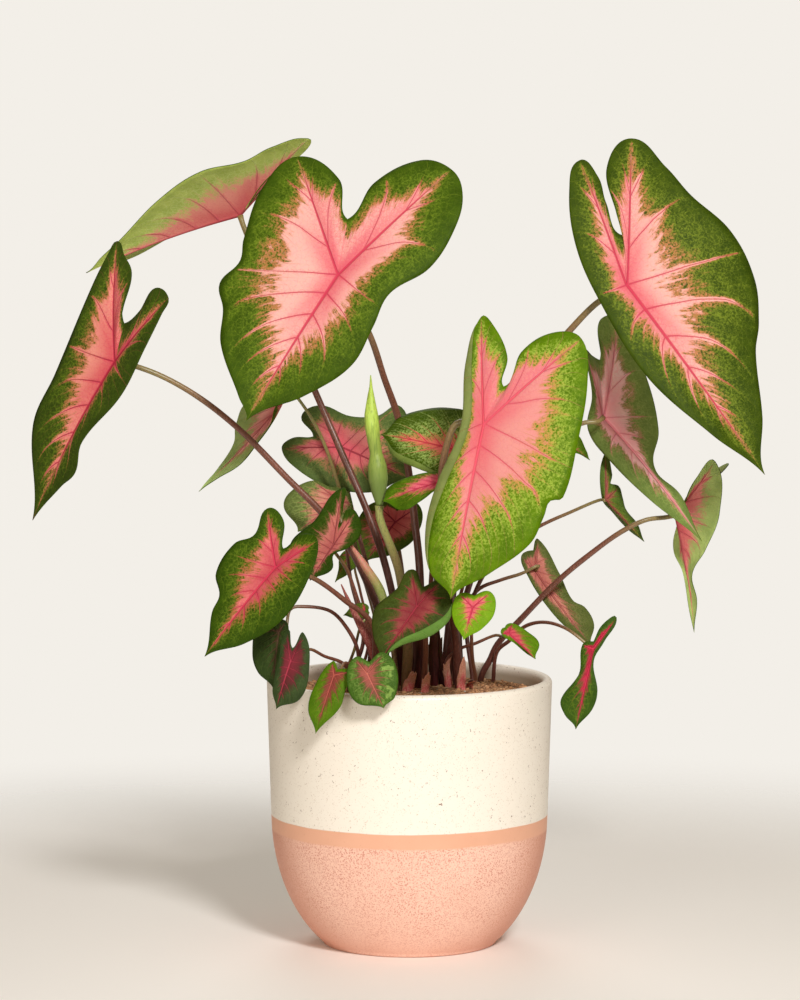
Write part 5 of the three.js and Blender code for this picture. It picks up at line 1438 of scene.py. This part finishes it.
# %% [markdown]
# ## The pot
# The pot is a thrown bowl: one profile turned about its axis. It could be a cylinder with a bevel,
# but the wall, the round lip and the curve down to the narrow foot are one line on the real pot, so
# one line makes them here. The same curve gives the soil its side.

# %% The pot's profile
POT_HEIGHT, RIM_RADIUS, BAND_RADIUS, BAND_HEIGHT = 150, 80, 77.6, 71
BASE_RADIUS, WALL, FLOOR, FOOT_CHAMFER, FIT_GAP = 49, 5.5, 8, 1.2, 0.3
TURN_SIDES, BOWL_STEPS, NECK_STEPS, LIP_STEPS = 144, 28, 23, 14


def wall_line(inset):
    """From the foot up to the start of the lip, as (radius, height) in mm."""
    share = np.linspace(0, 1, BOWL_STEPS + 1)[:, None]
    knots = [(BASE_RADIUS, FOOT_CHAMFER), (66, 16), (77, 42), (BAND_RADIUS, BAND_HEIGHT)]
    curve = cubic(*np.array(knots, float), share)
    upper = np.linspace((BAND_RADIUS, BAND_HEIGHT), (RIM_RADIUS, POT_HEIGHT - WALL / 2), NECK_STEPS + 1)[1:]
    return np.vstack([curve, upper]) - (inset, 0)


def turned_mesh(profile, sides):
    """A closed body turned from a profile whose ends lie on the axis."""
    profile = np.array(profile) * MM
    angles = 2 * np.pi * np.arange(sides) / sides
    rings = profile[1:-1]
    points = np.stack([rings[:, :1] * np.cos(angles), rings[:, :1] * np.sin(angles),
                       np.repeat(rings[:, 1:], sides, 1)], -1).reshape(-1, 3)
    first, last = len(points), len(points) + 1
    points = np.vstack([points, [0, 0, profile[0, 1]], [0, 0, profile[-1, 1]]])
    faces = []
    top = (len(rings) - 1) * sides
    for j in range(sides):
        k = (j + 1) % sides
        faces.append([first, k, j])
        faces += [ring_quad(i, j, sides) for i in range(len(rings) - 1)]
        faces.append([last, top + j, top + k])
    return points, faces


lip_turn = np.radians(np.linspace(0, 180, LIP_STEPS + 1)[1:-1])
lip = np.stack([RIM_RADIUS - WALL / 2 + np.cos(lip_turn) * WALL / 2,
                POT_HEIGHT + (np.sin(lip_turn) - 1) * WALL / 2], 1)
inside = wall_line(WALL)
inside = inside[inside[:, 1] > FLOOR + 4][::-1]
foot_round = [(0, 0), (BASE_RADIUS - FOOT_CHAMFER - 0.4, 0), (BASE_RADIUS - 0.35, 0.35)]
pot_profile = np.vstack([foot_round, wall_line(0), lip, inside, [(BASE_RADIUS - WALL, FLOOR), (0, FLOOR)]])
print("pot profile has", len(pot_profile), "points")

# %% [markdown]
# ## The glazes
# Below the band the pot is salmon clay with a dense, dark red speckle; above it is a cream glaze with
# fine brown specks that are few and far between. A smooth stripe of bare colour, eight millimetres
# wide, lies under the edge of the cream. The specks come from cells of noise: only the cells with a
# high random number get a speck, so they never line up. Painted shade darkens the salmon clay where it
# turns away from view, and painted shade turns the cream inside the pot grey-brown.

# %% Pot finish
GLAZE_LINE = BAND_HEIGHT + 2.4  # the cream glaze starts a little above the shoulder
STRIPE_WIDTH = 8.2


def pot_finish():
    pot = Shader("speckled_glaze")
    where = pot.place()
    height = pot.part(where, 2)
    waver = (pot.cloud(where, 0.05, 2.0) - 0.5) * 0.8
    cream_part = (height + waver).rise(GLAZE_LINE - 0.25, GLAZE_LINE + 0.25)
    stripe_part = (height + waver * 2).rise(GLAZE_LINE - STRIPE_WIDTH - 0.9, GLAZE_LINE - STRIPE_WIDTH + 0.9)

    drift = pot.vector((pot.cloud(where, 0.3) - 0.5) * 9, (pot.cloud(where, 0.37) - 0.5) * 9,
                       (pot.cloud(where, 0.43) - 0.5) * 9)
    strewn = pot.node("ShaderNodeVectorMath", {"operation": "ADD"}, {0: where, 1: drift})

    def specks(scale, size, rare):
        spot = pot.cells(strewn, scale)
        chance = pot.part(pot.cells(strewn, scale, "F1", 1), 0)
        return (1 - spot.rise(size * 0.6, size)) * chance.rise(rare, rare + 0.02)

    cream = pot.blend(pot.cloud(where, 0.03, 3.0), paint(243, 234, 220), paint(246, 238, 226))
    dark_specks = specks(0.42, 0.22, 0.82)
    faint_specks = specks(0.85, 0.28, 0.55) * 0.8
    cream = pot.blend(faint_specks.smaller(1.0), cream, paint(176, 150, 120))
    cream = pot.blend(dark_specks * 0.95, cream, paint(112, 68, 44))
    # Painted shade: the cream inside the pot is darkened towards grey-brown.
    across = pot.length(pot.place((1, 1, 0)))
    painted_inner_shade = (RIM_RADIUS - across).rise(WALL * 0.6, WALL) * (POT_HEIGHT - height).rise(1.5, 6)
    cream = pot.blend(painted_inner_shade * 0.8, cream, paint(150, 132, 106))
    stripe = pot.blend(pot.cloud(where, 0.08, 3.0), paint(226, 168, 138), paint(236, 179, 149))
    salmon = pot.blend(pot.cloud(where, 0.035, 2.0), paint(238, 190, 168), paint(250, 208, 188))
    mottle = pot.cloud(where, 1.3, 2.0, 0.6)
    patches = pot.cloud(where, 0.05, 2.0).rise(0.35, 0.65, 0.7, 1.0) * height.rise(2.0, 30.0, 0.5, 1.0)
    salmon = pot.blend(mottle.rise(0.5, 0.6) * patches * 0.75, salmon, paint(202, 116, 98))
    salmon = pot.blend(specks(0.6, 0.3, 0.5) * 0.4, salmon, paint(182, 98, 84))
    # Painted shade: the salmon clay darkens where its surface turns away from view.
    painted_side_shade = pot.node("ShaderNodeLayerWeight", {}, {"Blend": 0.5}, 1)
    salmon = pot.blend(painted_side_shade.rise(0.3, 0.85) * 0.75, salmon, paint(206, 132, 102))
    lower = pot.blend(stripe_part, salmon, stripe)
    lower = pot.blend(specks(0.55, 0.2, 0.8) * 0.4, lower, paint(190, 120, 90))
    skin = pot.blend(cream_part, lower, cream)
    grain = pot.cloud(where, 0.5, 3.0)
    roughness = cream_part * -0.12 + 0.5 + (grain - 0.5) * 0.12
    bump = mottle * 0.05 * (1 - stripe_part) + cream_part * 0.12
    return pot.finish(skin, roughness, bump, Specular_IOR_Level=0.45)


points, faces = turned_mesh(pot_profile, TURN_SIDES)
make_piece("glazed_pot", points, faces, [pot_finish()], ["pot"])
print("pot turned with", len(faces), "faces")

# %% [markdown]
# ## The soil
# Potting soil is never flat. Its top here is a disc of rings lifted by layered noise, and on it lie
# crumbs, bark fibres and a few white grains, which are what the eye takes for soil at this distance.
# A particle system could scatter them, but real meshes survive the export, and a seed keeps them put.

# %% Soil
SOIL_CROWN, SOIL_ROUGHNESS = 1.5, 0.9
SOIL_REACH, CLOD_WIDTH = 74, 9
soil_random = random.Random(8)


def soil_height(x, y):
    reach = math.hypot(x, y) / SOIL_REACH
    crown = SOIL_CROWN * (1 - min(1, reach) ** 2)
    rough = noise.fractal(Vector((x / CLOD_WIDTH, y / CLOD_WIDTH, 3.1)), 0.6, 2.1, 5)
    return SOIL_TOP - SOIL_ROUGHNESS + crown + SOIL_ROUGHNESS * rough * min(1, (1.0 - reach) * 12)


top_radius = np.interp(SOIL_TOP, [BAND_HEIGHT, POT_HEIGHT], [BAND_RADIUS, RIM_RADIUS]) - WALL - FIT_GAP
side = wall_line(WALL + FIT_GAP)
side = side[(side[:, 1] > FLOOR + 5) & (side[:, 1] < SOIL_TOP - 1.5)]
soil_line = np.vstack([[(0, FLOOR + FIT_GAP), (BASE_RADIUS - WALL - 1, FLOOR + FIT_GAP)], side,
                       [(top_radius, SOIL_TOP - SOIL_ROUGHNESS)],
                       [(top_radius * r, SOIL_TOP) for r in np.linspace(1, 0, 56)[1:]]])
points, faces = turned_mesh(soil_line, TURN_SIDES)
for point in points:
    if point[2] > (SOIL_TOP - 0.5) * MM:
        point[2] = soil_height(point[0] / MM, point[1] / MM) * MM


# %% Soil finish
def soil_finish():
    soil = Shader("potting_soil")
    where = soil.place()
    damp = soil.cloud(where, 0.12, 4.0, 0.6)
    bits = soil.cells(where, 0.7)
    skin = soil.blend(damp.rise(0.35, 0.65), paint(98, 68, 50), paint(198, 148, 106))
    skin = soil.blend(bits.rise(0.2, 0.7) * 0.5, skin, paint(202, 160, 118))
    grit = soil.cloud(where, 1.2, 3.0, 0.7)
    skin = soil.blend(grit.rise(0.66, 0.72) * 0.6, skin, paint(168, 150, 132))
    return soil.finish(skin, 0.9 + (grit - 0.5) * 0.1, grit * 0.6 + bits * 0.4, Specular_IOR_Level=0.2)


make_piece("potting_soil", points, faces, [soil_finish()], ["soil"])
print("soil top between", round(points[:, 2].min(), 3), "and", round(points[:, 2].max(), 4))


# %% [markdown]
# ## Crumbs, fibres and grit
# The loose bits are tiny closed meshes in one piece: lumps for crumbs and white grains, and thin bent
# sticks for fibres. Each lies on the soil where the dice put it, away from the pot's wall.

# %% Loose bits on the soil
CRUMBS, WHITE_GRAINS, FIBRES = 1500, 70, 420
LITTER_REACH = 71
LUMP_ROWS = [(0.75, -0.45), (1.0, 0.1), (0.6, 0.65)]
LUMP_POLE = 0.8
LUMP_SIDES, FIBRE_SIDES = 6, 5


def lump(centre, size):
    """A small uneven pebble."""
    sides = LUMP_SIDES
    points, faces = [], []
    turn = soil_random.uniform(0, 6.3)
    stretch = [soil_random.uniform(0.7, 1.3) for _ in range(3)]
    for radius, height in LUMP_ROWS:
        for j in range(sides):
            angle = turn + 2 * math.pi * j / sides
            jitter = soil_random.uniform(0.75, 1.2)
            points.append([centre[0] + size * radius * jitter * stretch[0] * math.cos(angle),
                           centre[1] + size * radius * jitter * stretch[1] * math.sin(angle),
                           centre[2] + size * height * stretch[2] * soil_random.uniform(0.85, 1.1)])
    points.append([centre[0], centre[1], centre[2] - LUMP_POLE * size])
    points.append([centre[0], centre[1], centre[2] + LUMP_POLE * size])
    bottom, top = len(points) - 2, len(points) - 1
    last_row = bottom - sides
    for j in range(sides):
        k = (j + 1) % sides
        faces.append([bottom, k, j])
        faces += [ring_quad(i, j, sides) for i in range(len(LUMP_ROWS) - 1)]
        faces.append([top, last_row + j, last_row + k])
    return points, faces


def fibre(centre, length, radius):
    """A thin bent stick of bark or coir that lies on the soil."""
    heading = soil_random.uniform(0, 2 * math.pi)
    bend = soil_random.uniform(-1.2, 1.2)
    knots = []
    for i in range(5):
        share = i / 4 - 0.5
        angle = heading + bend * share
        x, y = centre[0] + length * share * math.cos(angle), centre[1] + length * share * math.sin(angle)
        knots.append([x, y, soil_height(x, y) + radius * 0.7 + abs(share) * soil_random.uniform(-0.3, 1.2)])
    path = np.array(knots)
    points, faces, _ = tube(path, [radius * r for r in (0.6, 1, 1, 0.9, 0.4)], FIBRE_SIDES)
    return points.tolist(), faces


def spot_on_soil():
    distance = LITTER_REACH * math.sqrt(soil_random.random())
    angle = soil_random.uniform(0, 2 * math.pi)
    x, y = distance * math.cos(angle), distance * math.sin(angle)
    return x, y, soil_height(x, y)


# %% Scattering them
points, faces, kinds = [], [], []
for kind, many in ((0, CRUMBS), (1, WHITE_GRAINS), (2, FIBRES)):
    for _ in range(many):
        x, y, z = spot_on_soil()
        if kind == 2:
            bit = fibre((x, y, z), soil_random.uniform(3, 11), soil_random.uniform(0.12, 0.4))
        else:
            size = soil_random.uniform(0.35, 1.3) ** 1.5 if kind == 0 else soil_random.uniform(0.3, 0.8)
            bit = lump((x, y, z + 0.2 * size), size)
        faces += shifted(bit[1], len(points))
        kinds += [kind] * len(bit[1])
        points += bit[0]


def bits_finish(name, low, high, scale, roughness):
    bit = Shader(name)
    patch = bit.cloud(bit.place(), scale, 3.0, 0.6)
    skin = bit.blend(patch.rise(0.35, 0.65), paint(*low), paint(*high))
    return bit.finish(skin, roughness + (patch - 0.5) * 0.1, patch * 0.1, Specular_IOR_Level=0.25)


bit_finishes = [bits_finish("soil_crumb", (122, 84, 60), (214, 162, 118), 0.35, 0.9),
                bits_finish("white_grain", (168, 160, 148), (214, 208, 196), 0.6, 0.8),
                bits_finish("bark_fibre", (146, 104, 72), (224, 186, 144), 0.12, 0.8)]
make_piece("soil_litter", np.array(points) * MM, faces, bit_finishes, [], kinds, smooth=False)
print("loose bits:", len(faces), "faces")

# %% [markdown]
# ## The tuber
# The tuber is out of sight, but it holds every stalk, so its solid stays and gets a fibrous skin.

# %% Tuber finish
def tuber_finish():
    tuber = Shader("tuber_skin")
    rings = tuber.cloud(tuber.place((0.15, 0.15, 0.8)), 1.0, 4.0, 0.6)
    skin = tuber.blend(rings.rise(0.35, 0.65), paint(86, 60, 40), paint(134, 102, 70))
    return tuber.finish(skin, 0.85 + (rings - 0.5) * 0.2, rings * 0.6, Specular_IOR_Level=0.25)


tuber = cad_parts["tuber"]
tuber.data.materials.clear()
tuber.data.materials.append(tuber_finish())
print("tuber dressed")

# %% [markdown]
# ## Floor and light
# The stage is a pale floor that fades into a pale surround, so the pot's soft shadow is all that tells
# where it stands. The key light is a soft panel, high on the right and in front. A wide weak one on
# the left, one behind and the surround fill the shadows. A plain floor to the horizon would draw a
# line behind the leaves.

# %% Floor finish
def floor_finish():
    floor = Shader("pale_floor")
    place = floor.node("ShaderNodeTexCoord", output=3)
    distance = floor.length(place)
    white = floor.node("ShaderNodeBsdfPrincipled", {}, {
        "Base Color": floor.blend(floor.cloud(place, 3.0, 2.0), paint(246, 243, 239), paint(250, 247, 244)),
        "Roughness": floor.cloud(place, 40.0, 2.0) * 0.1 + 0.55})
    clear = floor.node("ShaderNodeBsdfTransparent")
    shown = floor.node("ShaderNodeMixShader", {}, {0: distance.rise(0.28, 0.75), 1: white, 2: clear})
    floor.node("ShaderNodeOutputMaterial", {}, {"Surface": shown})
    return floor.material


# %% Floor
STAGE_RADIUS, STAGE_SIDES = 1.6, 96
angles = np.linspace(0, 2 * np.pi, STAGE_SIDES + 1)[:-1]
stage_edge = [(STAGE_RADIUS * math.cos(a), STAGE_RADIUS * math.sin(a), 0.0) for a in angles]
floor_mesh = bpy.data.meshes.new("floor")
floor_mesh.from_pydata(stage_edge, [], [list(range(STAGE_SIDES))])
floor_mesh.materials.append(floor_finish())
floor = bpy.data.objects.new("floor", floor_mesh)
bpy.context.scene.collection.objects.link(floor)


# %% Lights
def soft_light(name, place, target, size, power, tint):
    lamp = bpy.data.lights.new(name, "AREA")
    lamp.shape, lamp.size, lamp.energy, lamp.color = "DISK", size, power, tint
    holder = bpy.data.objects.new(name, lamp)
    holder.location = place
    holder.rotation_euler = (Vector(target) - Vector(place)).to_track_quat("-Z", "Y").to_euler()
    bpy.context.scene.collection.objects.link(holder)


soft_light("key", (0.5, -1.75, 1.26), (0, 0, 0.25), 0.4, 34.5, (1.0, 0.98, 0.95))
soft_light("fill", (-1.1, -2.1, 0.5), (0, 0, 0.24), 1.2, 12, (1.0, 0.95, 0.88))
soft_light("back", (-0.1, 1.5, 1.35), (0, 0, 0.25), 1.0, 7, (1.0, 0.98, 0.95))

# %% Surround
AMBIENT = 0.32  # the surround looks bright, but lights the plant with less, and warmer
surround = bpy.data.worlds.new("pale_surround")
surround.use_nodes = True
bpy.context.scene.world = surround
background = surround.node_tree.nodes["Background"]
straight_sight = surround.node_tree.nodes.new("ShaderNodeLightPath")
tints = surround.node_tree.nodes.new("ShaderNodeMix")
tints.data_type = "RGBA"
tints.inputs[6].default_value, tints.inputs[7].default_value = paint(246, 232, 210), paint(243, 239, 232)
surround.node_tree.links.new(straight_sight.outputs["Is Camera Ray"], tints.inputs[0])
surround.node_tree.links.new(tints.outputs[2], background.inputs["Color"])
strength = surround.node_tree.nodes.new("ShaderNodeMapRange")
for socket, value in {"To Min": AMBIENT, "To Max": 1.0}.items():
    strength.inputs[socket].default_value = value
surround.node_tree.links.new(straight_sight.outputs["Is Camera Ray"], strength.inputs["Value"])
surround.node_tree.links.new(strength.outputs["Result"], background.inputs["Strength"])
bpy.context.scene.view_settings.view_transform = "Standard"
print("stage set")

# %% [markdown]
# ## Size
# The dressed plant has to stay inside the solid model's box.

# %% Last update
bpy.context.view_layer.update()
